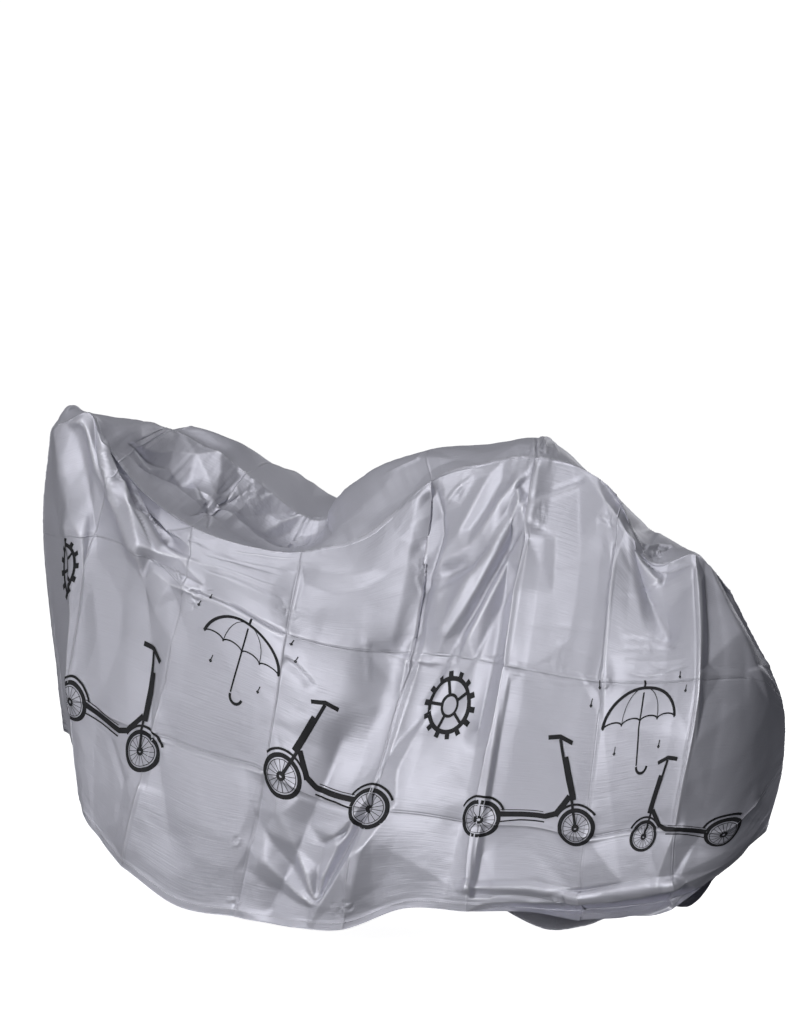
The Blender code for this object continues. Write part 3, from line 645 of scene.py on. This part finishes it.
def intoPanel(sheet):  # the sewn line in metres of cloth and the way from it into the panel
    place = sheet["place"]
    line = sewnEdge(place)
    side = len(downShares) - 1
    inward = np.zeros_like(line)
    inward[:side] = (1, 0)
    inward[side:-side] = (0, 1)
    inward[-side:] = (-1, 0)
    return line, inward


def hemBand(points, width, step):  # a doubled hem stands a little proud of the cloth above it
    legs = np.linalg.norm(np.diff(points, axis=1), axis=-1)
    toHem = np.concatenate((np.cumsum(legs[:, ::-1], axis=1)[:, ::-1], np.zeros((len(points), 1))), axis=1)
    return toHem, step * smooth((width + 0.004 - toHem) / 0.006)


def stripSheet(nearEdge, farEdge):
    side = downShares[1:]
    places = np.concatenate((-side[::-1], alongPlaces, cover["creases"] + side))
    across = np.linspace(0, 1, cover["stripSteps"] + 1)
    chord = farEdge - nearEdge
    path = np.gradient((nearEdge + farEdge) / 2, axis=0)
    outward = unit(np.cross(path, chord))
    quarters = np.array([(0,) + row[1:] + (0,) for row in stripRises])
    quarters = through([row[0] for row in stripRises], quarters, places)
    rises = through((0, 0.25, 0.5, 0.75, 1), quarters.T, across).T
    width = np.linalg.norm(chord, axis=1).mean()
    fade = np.sin(math.pi * across)
    rises = rises + mainHeights(stripMainFolds, places, across, width) * fade
    points = nearEdge[:, None] + chord[:, None] * across[:, None] + rises[..., None] * outward[:, None]
    place = np.stack(np.meshgrid(places * cover["creasePitch"], across * width, indexing="ij"), -1)
    return finishSheet(points, 1, place), across, chord


pucker = {"pitch": 0.015, "length": 0.026, "width": 4.0, "rise": 0.8}

nearSheet = panelSheet(nearSections, nearMainFolds, -1)
line, inward = intoPanel(nearSheet)
nearFolds = (onSheet(nearSheet, nearFineFolds) + creaseFolds(nearCreases, cover["levelPitch"])
             + crumpleFolds(nearSheet, nearCrumples, 3)
             + puckers(line, inward, 5, pucker))
heights = (fineHeights(nearFolds, nearSheet["place"]) + netHeights(nearSheet, nearCreaseNet)
           + facets(nearSheet["place"], 7, (0.08, 0.11), 0.045)
           + facets(nearSheet["place"], 8, (0.034, 0.05), 0.03))
nearSheet = raiseSheet(nearSheet, heights)
nearToHem, band = hemBand(nearSheet["points"], cover["hemWidth"], cover["hemStep"])
nearSheet = raiseSheet(nearSheet, band)
print("near panel folded:", len(nearFolds), "folds")

farSheet = panelSheet(farSections, farMainFolds, 1)
line, inward = intoPanel(farSheet)
farFolds = puckers(line, inward, 11, pucker) + creaseFolds(farCreases, cover["levelPitch"] * 3 / 4)
heights = (fineHeights(farFolds, farSheet["place"]) + facets(farSheet["place"], 13, (0.11, 0.17), 0.07)
           + facets(farSheet["place"], 14, (0.034, 0.05), 0.03))
farSheet = raiseSheet(farSheet, heights)
farToHem, band = hemBand(farSheet["points"], cover["hemWidth"], cover["hemStep"])
curl = smooth((0.07 - farToHem) / 0.07) * np.clip(1 - abs(alongPlaces - 5.2) / 1.6, 0, 1)[:, None]
farSheet = raiseSheet(farSheet, band - 0.022 * curl)    # the far hem turns in under the rear
print("far panel folded:", len(farFolds), "folds")

topSheet, across, chord = stripSheet(sewnEdge(nearSheet["points"]), sewnEdge(farSheet["points"]))
edgeLine = topSheet["place"][:, 0]
topFolds = (onSheet(topSheet, stripFineFolds) + crumpleFolds(topSheet, stripCrumples, 17)
            + puckers(edgeLine, np.tile((0.0, 1.0), (len(edgeLine), 1)), 19, pucker)
            + puckers(topSheet["place"][:, -1], np.tile((0.0, -1.0), (len(edgeLine), 1)), 23, pucker))
fromSeam = np.minimum(across, 1 - across)[None, :] * np.linalg.norm(chord, axis=1)[:, None]
pinned = smooth(fromSeam / 0.004)
heights = (fineHeights(topFolds, topSheet["place"]) + netHeights(topSheet, stripCreaseNet)
           + facets(topSheet["place"], 29, (0.09, 0.06), 0.06)
           + facets(topSheet["place"], 30, (0.035, 0.03), 0.03)) * pinned
heights += 0.0009 * smooth(fromSeam / 0.003) * smooth((0.012 - fromSeam) / 0.006)  # the seam's raised welt
topSheet = raiseSheet(topSheet, heights)
print("strip folded:", len(topFolds), "folds")


# materials

class Wire:  # a node's output, for shader sums written as plain expressions
    def __init__(self, finish, socket):
        self.finish, self.socket = finish, socket

    def sum(self, operation, first, second):
        return self.finish.add("ShaderNodeMath", {"operation": operation}, {0: first, 1: second})

    def __add__(self, other):
        return self.sum("ADD", self, other)

    def __sub__(self, other):
        return self.sum("SUBTRACT", self, other)

    def __rsub__(self, other):
        return self.sum("SUBTRACT", other, self)

    def __mul__(self, other):
        return self.sum("MULTIPLY", self, other)

    __radd__ = __add__
    __rmul__ = __mul__


class Finish:  # a material under construction
    def __init__(self, name):
        self.material = bpy.data.materials.new(name)
        self.material.use_nodes = True
        self.tree = self.material.node_tree
        self.surface = self.tree.nodes["Principled BSDF"]

    def add(self, kind, settings, inputs, output=0):
        node = self.tree.nodes.new(kind)
        for name, value in settings.items():
            setattr(node, name, value)
        for name, value in inputs.items():
            self.feed(node.inputs[name], value)
        return Wire(self, node.outputs[output])

    def feed(self, socket, value):
        if isinstance(value, Wire):
            self.tree.links.new(value.socket, socket)
        else:
            socket.default_value = value

    def blend(self, share, first, second):
        return self.add("ShaderNodeMix", {"data_type": "RGBA"}, {0: share, 6: first, 7: second}, 2)

    def onObject(self):    # places in the object's own metres
        return self.add("ShaderNodeTexCoord", {}, {}, 3)

    def layer(self, name):    # a value that the mesh holds at each point
        return self.add("ShaderNodeAttribute", {"attribute_name": name}, {}, 2)

    def set(self, **sockets):
        for name, value in sockets.items():
            self.feed(self.surface.inputs[name.replace("_", " ")], value)


# The darkest colour here is painted shade, laid into the cloth's concave creases where shade falls; the
# others are the film's own tone, with lighter stress-whitened crests.
filmLook = {
    "light": (0.62, 0.62, 0.69, 1), "dark": (0.53, 0.53, 0.60, 1), "rubbed": (0.76, 0.76, 0.82, 1),
    "troughShade": (0.30, 0.30, 0.34, 1), "roughness": 0.51, "metallic": 0.60, "ribPitch": 0.0034, "ribHeight": 0.55,
    "crumple": 0.9, "creaseWidth": 0.0026, "creaseHeight": 1.2,
}


def filmFinish(name, look, seed, pitch):
    finish = Finish(name)
    cloth = finish.add("ShaderNodeUVMap", {"uv_map": "cloth"}, {})

    def scaled(x, y):
        return finish.add("ShaderNodeVectorMath", {"operation": "MULTIPLY"}, {0: cloth, 1: (x, y, 1)})

    def noise(x, y, detail, rough=0.5):
        return finish.add("ShaderNodeTexNoise", {"noise_dimensions": "3D"},
                          {"Vector": finish.add("ShaderNodeVectorMath", {"operation": "ADD"},
                                                {0: scaled(x, y), 1: (seed, 0, seed)}),
                           "Scale": 1.0, "Detail": detail, "Roughness": rough})

    crumple, crest, trough = (finish.layer(label) for label in ("crumple", "crest", "trough"))
    wobble = noise(9, 9, 2)

    def pressed(axis, spacing):  # a thin ridge along each packing crease
        where = finish.add("ShaderNodeSeparateXYZ", {}, {"Vector": cloth}, axis) + wobble * 0.004 - 0.002
        gap = finish.add("ShaderNodeMath", {"operation": "PINGPONG"}, {0: where, 1: spacing / 2})
        return finish.add("ShaderNodeMath", {"operation": "SUBTRACT", "use_clamp": True},
                          {0: 1.0, 1: gap * (1 / look["creaseWidth"])})

    blotch = noise(5, 5, 3)
    streak = noise(14, 1 / look["ribPitch"], 2, 0.6)
    grain = noise(900, 900, 2)
    shade = finish.blend(blotch * 0.8 + streak * 0.25 - 0.02, look["dark"], look["light"])
    colour = finish.blend(crest * 0.6, shade, look["rubbed"])
    # painted shade: the colour darkens towards the cloth's troughs, where its creases fall into shade
    colour = finish.blend(trough * 0.5, colour, look["troughShade"])
    facets = finish.add("ShaderNodeTexVoronoi", {"feature": "F1"}, {"Vector": scaled(160, 190), "Scale": 1.0})
    lines = pressed(0, pitch[0])
    if pitch[1]:
        lines = lines + pressed(1, pitch[1])
    height = (streak * look["ribHeight"] + grain * 0.03 + facets * crumple * look["crumple"] + blotch * 0.6
              + lines * look["creaseHeight"])
    bump = finish.add("ShaderNodeBump", {}, {"Strength": 0.6, "Distance": 0.0015, "Height": height})
    finish.set(Base_Color=colour, Metallic=look["metallic"],
               Roughness=look["roughness"] + 0.10 * blotch - 0.05 * crest, Normal=bump)
    return finish.material


threadLook = {"colour": (0.52, 0.52, 0.55, 1), "shadow": (0.34, 0.34, 0.37, 1), "roughness": 0.6}


def threadFinish(name, look):
    finish = Finish(name)
    where = finish.onObject()
    twist = finish.add("ShaderNodeTexWave", {"wave_type": "BANDS", "bands_direction": "DIAGONAL"},
                       {"Vector": where, "Scale": 900.0, "Distortion": 1.0})
    shade = finish.blend(twist * 0.4, look["colour"], look["shadow"])
    bump = finish.add("ShaderNodeBump", {}, {"Strength": 0.4, "Distance": 0.0003, "Height": twist})
    finish.set(Base_Color=shade, Roughness=look["roughness"], Normal=bump)
    return finish.material


inkLook = {
    "colour": (0.010, 0.010, 0.012, 1), "worn": (0.030, 0.030, 0.034, 1),
    "roughness": 0.55, "shine": 0.22,
}


def inkFinish(name, look):
    finish = Finish(name)
    where = finish.onObject()
    patch = finish.add("ShaderNodeTexNoise", {}, {"Vector": where, "Scale": 60.0, "Detail": 4.0})
    shade = finish.blend(patch * 0.8, look["colour"], look["worn"])
    finish.set(Base_Color=shade, Roughness=look["roughness"] + 0.12 * patch, Specular_IOR_Level=look["shine"])
    return finish.material


# sheets

def gridMesh(name, sheet, crumple, bend):
    points = (sheet["points"] - heldAt).astype(np.float32)
    rows, columns = points.shape[:2]
    index = np.arange(rows * columns).reshape(rows, columns)
    corners = [index[:-1, :-1], index[1:, :-1], index[1:, 1:], index[:-1, 1:]]
    if sheet["outward"] < 0:
        corners.reverse()
    quads = np.stack(corners, -1).reshape(-1, 4)
    mesh = bpy.data.meshes.new(name)
    mesh.from_pydata(points.reshape(-1, 3).tolist(), [], quads.tolist())
    uv = mesh.uv_layers.new(name="cloth")
    uv.data.foreach_set("uv", sheet["place"].reshape(-1, 2)[quads.ravel()].astype(np.float32).ravel())
    # trough measures how sharply the cloth bends inward; the film finish paints shade there
    for label, values in (("crumple", crumple), ("crest", (bend - 25) / 160), ("trough", (-bend - 25) / 160)):
        layer = mesh.attributes.new(label, "FLOAT", "POINT")
        layer.data.foreach_set("value", np.clip(values, 0, 1).astype(np.float32).ravel())
    mesh.shade_smooth()
    return showObject(name, mesh)


def spotMask(sheet, spots, floor):
    mask = np.full(sheet["place"].shape[:-1], floor)
    for x, y, radius, depth, _ in spots:
        gap = np.linalg.norm(sheet["place"] - placeOnSheet(sheet, (x, y)), axis=-1)
        mask += depth / 2.4 * np.exp(-(gap / (radius / 1000)) ** 2)
    return mask


def bending(sheet):  # how sharply the cloth bends at each point, above zero on crests
    normals, points = sheet["normals"], sheet["points"]
    bend = np.zeros(points.shape[:-1])
    for axis in (0, 1):
        turn = np.gradient(normals, axis=axis)
        step = np.gradient(points, axis=axis)
        bend += (turn * step).sum(-1) / np.maximum((step * step).sum(-1), 1e-9)
    return bend


def dressSheet(name, node, sheet, crumple, material):
    piece = gridMesh(name, sheet, crumple, bending(sheet))
    piece.data.materials.append(material)
    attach(piece, "root")
    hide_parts(node)
    print(name, "made:", len(piece.data.vertices), "points")


nearPitch = (cover["creasePitch"], cover["levelPitch"])
farPitch = (cover["creasePitch"], cover["levelPitch"] * 3 / 4)
topPitch = (cover["creasePitch"], 0)
dressSheet("nearPanelFilm", "side_panel_near", nearSheet,
           spotMask(nearSheet, nearCrumples, 0.04),
           filmFinish("nearFilm", filmLook, 1.0, nearPitch))
dressSheet("farPanelFilm", "side_panel_far", farSheet, spotMask(farSheet, (), 0.06),
           filmFinish("farFilm", filmLook, 2.0, farPitch))
dressSheet("topStripFilm", "top_gusset", topSheet, spotMask(topSheet, stripCrumples, 0.10),
           filmFinish("topFilm", filmLook, 3.0, topPitch))


# stitches

stitch = {"pitch": 0.0052, "length": 0.0036, "radius": 0.00055, "fromSeam": 0.0075, "aboveHem": 0.015}


def stitchTree(material):
    tree = bpy.data.node_groups.new("stitchRow", "GeometryNodeTree")
    face = tree.interface
    face.new_socket("Geometry", in_out="INPUT", socket_type="NodeSocketGeometry")
    for label in ("Pitch", "Stitch Length", "Thread Radius"):
        face.new_socket(label, in_out="INPUT", socket_type="NodeSocketFloat")
    face.new_socket("Seed", in_out="INPUT", socket_type="NodeSocketInt")
    face.new_socket("Geometry", in_out="OUTPUT", socket_type="NodeSocketGeometry")

    def add(kind, settings, inputs, output=0):
        node = tree.nodes.new(kind)
        for label, value in settings.items():
            setattr(node, label, value)
        for label, value in inputs.items():
            if isinstance(value, bpy.types.NodeSocket):
                tree.links.new(value, node.inputs[label])
            else:
                node.inputs[label].default_value = value
        return node.outputs[output]

    given = tree.nodes.new("NodeGroupInput").outputs
    path = add("GeometryNodeMeshToCurve", {}, {"Mesh": given["Geometry"]})
    path = add("GeometryNodeResampleCurve", {"mode": "LENGTH"}, {"Curve": path, "Length": given["Pitch"]})
    dash = add("GeometryNodeMeshUVSphere", {}, {"Segments": 6, "Rings": 4, "Radius": 1.0})
    way = add("GeometryNodeInputTangent", {}, {})
    turn = add("FunctionNodeAlignRotationToVector", {"axis": "X"}, {"Vector": way})
    jitter = add("FunctionNodeRandomValue", {"data_type": "FLOAT"},
                 {"Min": 0.85, "Max": 1.1, "Seed": given["Seed"]}, 1)
    halfLength = add("ShaderNodeMath", {"operation": "MULTIPLY"}, {0: given["Stitch Length"], 1: 0.5})
    halfLength = add("ShaderNodeMath", {"operation": "MULTIPLY"}, {0: halfLength, 1: jitter})
    radius = given["Thread Radius"]
    size = add("ShaderNodeCombineXYZ", {}, {"X": halfLength, "Y": radius, "Z": radius})
    row = add("GeometryNodeInstanceOnPoints", {},
              {"Points": path, "Instance": dash, "Rotation": turn, "Scale": size})
    row = add("GeometryNodeRealizeInstances", {}, {"Geometry": row})
    row = add("GeometryNodeSetMaterial", {}, {"Geometry": row, "Material": material})
    tree.links.new(row, tree.nodes.new("NodeGroupOutput").inputs["Geometry"])
    return tree


def sewnRow(name, lines, tree, settings, seed):
    path = bpy.data.meshes.new(name + "Path")
    points, edges = [], []
    for line in lines:
        edges += [(len(points) + k, len(points) + k + 1) for k in range(len(line) - 1)]
        points += (line - heldAt).tolist()
    path.from_pydata(points, edges, [])
    row = showObject(name, path)
    maker = row.modifiers.new("stitches", "NODES")
    maker.node_group = tree
    sockets = {item.name: item.identifier for item in tree.interface.items_tree if item.in_out == "INPUT"}
    maker[sockets["Pitch"]] = settings["pitch"]
    maker[sockets["Stitch Length"]] = settings["length"]
    maker[sockets["Thread Radius"]] = settings["radius"]
    maker[sockets["Seed"]] = seed
    graph = bpy.context.evaluated_depsgraph_get()
    plain = bpy.data.meshes.new_from_object(row.evaluated_get(graph), depsgraph=graph)
    row.modifiers.clear()
    row.data = plain
    plain.shade_smooth()
    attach(row, "root")
    print(name, "sewn:", len(plain.polygons), "faces")
    return row


def offsetLine(sheet, distance, column, lift):  # at a distance from the sheet's first or last column
    points, normals = sheet["points"], sheet["normals"]
    if column:
        points, normals = points[:, ::-1], normals[:, ::-1]
    legs = np.linalg.norm(np.diff(points, axis=1), axis=-1)
    far = np.concatenate((np.zeros((len(points), 1)), np.cumsum(legs, axis=1)), axis=1)
    k = np.clip((far < distance).sum(1), 1, points.shape[1] - 1)
    rows = np.arange(len(points))
    t = ((distance - far[rows, k - 1]) / np.maximum(far[rows, k] - far[rows, k - 1], 1e-9))[:, None]
    return (points[rows, k - 1] * (1 - t) + points[rows, k] * t) + normals[rows, k] * lift


thread = threadFinish("seamThread", threadLook)
stitches = stitchTree(thread)
lift = stitch["radius"] * 0.5
seamLines = [offsetLine(topSheet, stitch["fromSeam"], side, lift) for side in (0, 1)]
hemLines = [offsetLine(sheet, stitch["aboveHem"], 1, lift) for sheet in (nearSheet, farSheet)]
seamRows = sewnRow("seamStitches", seamLines, stitches, stitch, 1)
hemRows = sewnRow("hemStitches", hemLines, stitches, stitch, 2)


# prints: plain signs of the cover's own

def arc(x, y, radius, start, end, squash=1.0):
    steps = max(6, int(abs(end - start) / 8))
    angles = np.radians(np.linspace(start, end, steps + 1))
    return [(x + radius * math.cos(a), y + radius * squash * math.sin(a)) for a in angles]


def wheel(x, y, radius, tyre, spokes):
    strokes = [(arc(x, y, radius, 0, 360), tyre), (arc(x, y, radius * 0.80, 0, 360), 0.0014),
               (arc(x, y, radius * 0.16, 0, 360), radius * 0.16)]
    for k in range(spokes):
        a = 2 * math.pi * k / spokes
        spoke = [(x + radius * r * math.cos(a), y + radius * r * math.sin(a)) for r in (0.22, 0.8)]
        strokes.append((spoke, 0.0011))
    return strokes


def kickScooter():
    return (wheel(-0.098, -0.062, 0.036, 0.0085, 16) + wheel(0.098, -0.062, 0.036, 0.0085, 16) + [
        ([(-0.062, -0.050), (0.030, -0.050), (0.052, -0.040), (0.076, -0.002)], 0.011),
        ([(-0.062, -0.041), (0.026, -0.041)], 0.0016),
        ([(0.098, -0.062), (0.080, -0.006), (0.048, 0.094)], 0.0062),
        ([(0.086, -0.008), (0.062, 0.066)], 0.0105),
        ([(0.022, 0.094), (0.048, 0.098), (0.074, 0.090)], 0.0075),
        (arc(-0.098, -0.062, 0.047, 25, 150), 0.0046), (arc(0.098, -0.062, 0.047, 35, 160), 0.0046),
        ([(-0.060, -0.066), (-0.020, -0.062), (0.030, -0.062)], 0.0030)])


def umbrella():
    strokes = [(arc(0, 0.0, 0.088, 8, 172, 0.86), 0.0066), ([(0, 0.075), (0, 0.092)], 0.0050),
               ([(0, 0.066), (0, -0.070)], 0.0036), (arc(0.014, -0.072, 0.014, 180, 352), 0.0056)]
    for k in range(4):
        left = -0.0865 + 0.04325 * k
        strokes.append((arc(left + 0.0216, 0.009, 0.0222, 0, 180, 0.42), 0.0030))
    for bend in (-0.62, -0.31, 0.31, 0.62):
        strokes.append(([(0.139 * bend * math.sin(a), 0.010 + 0.066 * math.cos(a))
                         for a in np.radians(np.linspace(0, 90, 8))], 0.0016))
    drops = ((-0.115, 0.055), (-0.098, 0.085), (0.112, 0.060),
             (0.094, 0.092), (-0.055, -0.035), (0.058, -0.040))
    for x, y in drops:
        strokes.append(([(x, y + 0.010), (x - 0.002, y)], 0.0020))
        strokes.append((arc(x - 0.002, y - 0.002, 0.0022, 0, 360), 0.0032))
    return strokes


def toothedWheel():
    strokes = [(arc(0, 0, 0.050, 0, 360), 0.0090), (arc(0, 0, 0.020, 0, 360), 0.0060)]
    for k in range(14):
        a = 2 * math.pi * k / 14
        strokes.append(([(r * math.cos(a), r * math.sin(a)) for r in (0.052, 0.064)], 0.0110))
    for k in range(5):
        a = 2 * math.pi * (k + 0.5) / 5
        strokes.append(([(r * math.cos(a), r * math.sin(a)) for r in (0.020, 0.047)], 0.0065))
    return strokes


prints = {
    "step": 0.0035, "lift": 0.0005,
    # sign, crease and level on the panel, turn in degrees, size, mirrored
    "near": ((toothedWheel, 0.62, 1.22, -6, 0.95, 1), (kickScooter, 1.52, 1.86, 9, 1.12, 1),
             (umbrella, 2.62, 1.34, 8, 1.05, 1), (kickScooter, 3.60, 1.76, 2, 1.10, -1),
             (toothedWheel, 4.48, 1.28, 0, 0.95, 1), (kickScooter, 5.46, 1.72, -2, 1.12, 1),
             (umbrella, 6.42, 1.30, -4, 1.05, 1), (kickScooter, 7.02, 1.84, -3, 1.05, -1)),
    "far": ((umbrella, 0.70, 1.80, 0, 1.05, 1), (kickScooter, 1.70, 2.40, 0, 1.12, 1),
            (toothedWheel, 2.70, 1.75, 0, 0.95, 1), (kickScooter, 3.75, 2.35, 0, 1.10, -1),
            (umbrella, 4.70, 1.75, 0, 1.05, 1), (kickScooter, 5.70, 2.35, 0, 1.12, 1),
            (toothedWheel, 6.70, 1.80, 0, 0.95, 1)),
}


def sampleSheet(sheet, alongAt, downAt):  # points and normals at fractional places of the mesh grid
    downScale = sheet["place"][0, -1, 1]
    i = np.interp(alongAt / cover["creasePitch"], alongPlaces, np.arange(len(alongPlaces)))
    j = np.interp(downAt / downScale, downShares, np.arange(len(downShares)))
    i, j = np.clip(i, 0, len(alongPlaces) - 1.001), np.clip(j, 0, len(downShares) - 1.001)
    i0, j0 = i.astype(int), j.astype(int)
    u, v = (i - i0)[:, None], (j - j0)[:, None]

    def mix(grid):
        return ((grid[i0, j0] * (1 - u) + grid[i0 + 1, j0] * u) * (1 - v)
                + (grid[i0, j0 + 1] * (1 - u) + grid[i0 + 1, j0 + 1] * u) * v)
    return mix(sheet["points"]), unit(mix(sheet["normals"]))


def strokeStrip(path, width, step):  # a stroke's flat points, two or more across, and its quads
    path = np.array(path, float)
    legs = np.linalg.norm(np.diff(path, axis=0), axis=1)
    lengths = np.concatenate(([0], np.cumsum(legs)))
    count = max(2, int(math.ceil(lengths[-1] / step)) + 1)
    at = np.linspace(0, lengths[-1], count)
    middle = np.stack([np.interp(at, lengths, path[:, k]) for k in (0, 1)], -1)
    closed = np.allclose(path[0], path[-1])
    way = np.gradient(middle, axis=0)
    if closed:
        way[0] = way[-1] = middle[1] - middle[-2]
    way = unit(way)
    side = np.stack((-way[:, 1], way[:, 0]), -1)
    wide = max(2, int(math.ceil(width / step)) + 1)
    offsets = np.linspace(-0.5, 0.5, wide) * width
    flat = middle[:, None] + offsets[None, :, None] * side[:, None]
    index = np.arange(count * wide).reshape(count, wide)
    quads = np.stack((index[:-1, :-1], index[1:, :-1], index[1:, 1:], index[:-1, 1:]), -1).reshape(-1, 4)
    return flat.reshape(-1, 2), quads


def printedSigns(name, sheet, signs, material):
    points, quads, downScale = [], [], sheet["place"][0, -1, 1] / (3 if sheet is nearSheet else 4)
    total = 0
    for layer, (sign, crease, level, turn, size, mirror) in enumerate(signs):
        cosine, sine = math.cos(math.radians(turn)), math.sin(math.radians(turn))
        for order, (path, width) in enumerate(sign()):
            flat, faces = strokeStrip(path, width, prints["step"])
            x, y = flat[:, 0] * size * mirror, flat[:, 1] * size
            along = crease * cover["creasePitch"] + x * cosine + y * sine
            down = level * downScale - (y * cosine - x * sine)
            onto, normals = sampleSheet(sheet, along, down)
            points.append(onto + normals * (prints["lift"] + 0.00002 * order))
            quads.append(faces + total)
            total += len(flat)
    mesh = bpy.data.meshes.new(name)
    mesh.from_pydata((np.concatenate(points) - heldAt).tolist(), [], np.concatenate(quads).tolist())
    mesh.materials.append(material)
    turnFacesOut(mesh, sheet)
    mesh.shade_smooth()
    piece = showObject(name, mesh)
    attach(piece, "root")
    print(name, "printed:", len(mesh.polygons), "faces")


def turnFacesOut(mesh, sheet):  # a print's faces point the way its sheet does
    centre = Vector(sheet["normals"].mean((0, 1)))
    for face in mesh.polygons:
        if face.normal.dot(centre) < 0:
            face.flip()


ink = inkFinish("printInk", inkLook)
printedSigns("nearPrints", nearSheet, prints["near"], ink)
printedSigns("farPrints", farSheet, prints["far"], ink)


# studio

studio = {"azimuth": 27, "elevation": 5, "distance": 25, "aim": (-0.333, -0.014, -0.171),
          "frameHeight": 1033 / 480, "floor": -1.047, "floorGlow": 0.95, "air": 0.095}


def paleFinish(name, colour):
    finish = Finish(name)
    where = finish.onObject()
    patch = finish.add("ShaderNodeTexNoise", {}, {"Vector": where, "Scale": 1.5})
    shade = finish.blend(patch, colour, tuple(c * 0.985 for c in colour[:3]) + (1,))
    finish.set(Base_Color=shade, Roughness=0.8, Emission_Color=(1, 1, 1, 1),
               Emission_Strength=studio["floorGlow"])
    return finish.material


floorMesh = bpy.data.meshes.new("paleFloor")
floorCorners = [(x, y, studio["floor"]) for x, y in ((-90, -90), (90, -90), (90, 90), (-90, 90))]
floorMesh.from_pydata(floorCorners, [], [(0, 1, 2, 3)])
floorMesh.materials.append(paleFinish("paleFloor", (0.93, 0.93, 0.93, 1)))
floor = showObject("paleFloor", floorMesh)
floor.visible_diffuse = floor.visible_glossy = False    # the picture's underside is dark


def softLight(name, azimuth, elevation, distance, size, watts, aim=(-0.3, 0, -0.4)):
    a, e = math.radians(azimuth), math.radians(elevation)
    way = Vector((math.sin(a) * math.cos(e), -math.cos(a) * math.cos(e), math.sin(e)))
    lamp = bpy.data.lights.new(name, "AREA")
    lamp.shape = "RECTANGLE"
    lamp.size, lamp.size_y = size
    lamp.energy = watts
    light = showObject(name, lamp)
    light.location = Vector(aim) + way * distance
    light.rotation_euler = way.to_track_quat("Z", "Y").to_euler()
    light.visible_camera = False


softLight("keyLight", 2, 8, 6.0, (2.4, 2.0), 168)
softLight("sideLight", -58, 12, 6.0, (2.0, 1.8), 16)
softLight("topLight", -20, 76, 6.0, (2.6, 2.2), 125)
softLight("bounceLight", -42, -15, 2.0, (2.2, 0.16), 4.5)
softLight("backLight", 180, 16, 6.0, (2.4, 2.0), 40)

world = bpy.data.worlds.new("studioAir")
world.use_nodes = True
world.node_tree.nodes["Background"].inputs["Color"].default_value = (0.93, 0.95, 1.0, 1)
world.node_tree.nodes["Background"].inputs["Strength"].default_value = studio["air"]
bpy.context.scene.world = world
bpy.context.scene.view_settings.view_transform = "Standard"

azimuth, elevation = math.radians(studio["azimuth"]), math.radians(studio["elevation"])
back = Vector((math.sin(azimuth) * math.cos(elevation), -math.cos(azimuth) * math.cos(elevation),
               math.sin(elevation)))
lens = bpy.data.cameras.new("camera")
lens.sensor_width = 36
lens.lens = 36 * studio["distance"] / studio["frameHeight"]
lens.clip_end = 200
camera = showObject("camera", lens)
camera.location = Vector(studio["aim"]) + back * studio["distance"]
camera.rotation_mode = "QUATERNION"
camera.rotation_quaternion = back.to_track_quat("Z", "Y")
bpy.context.scene.camera = camera
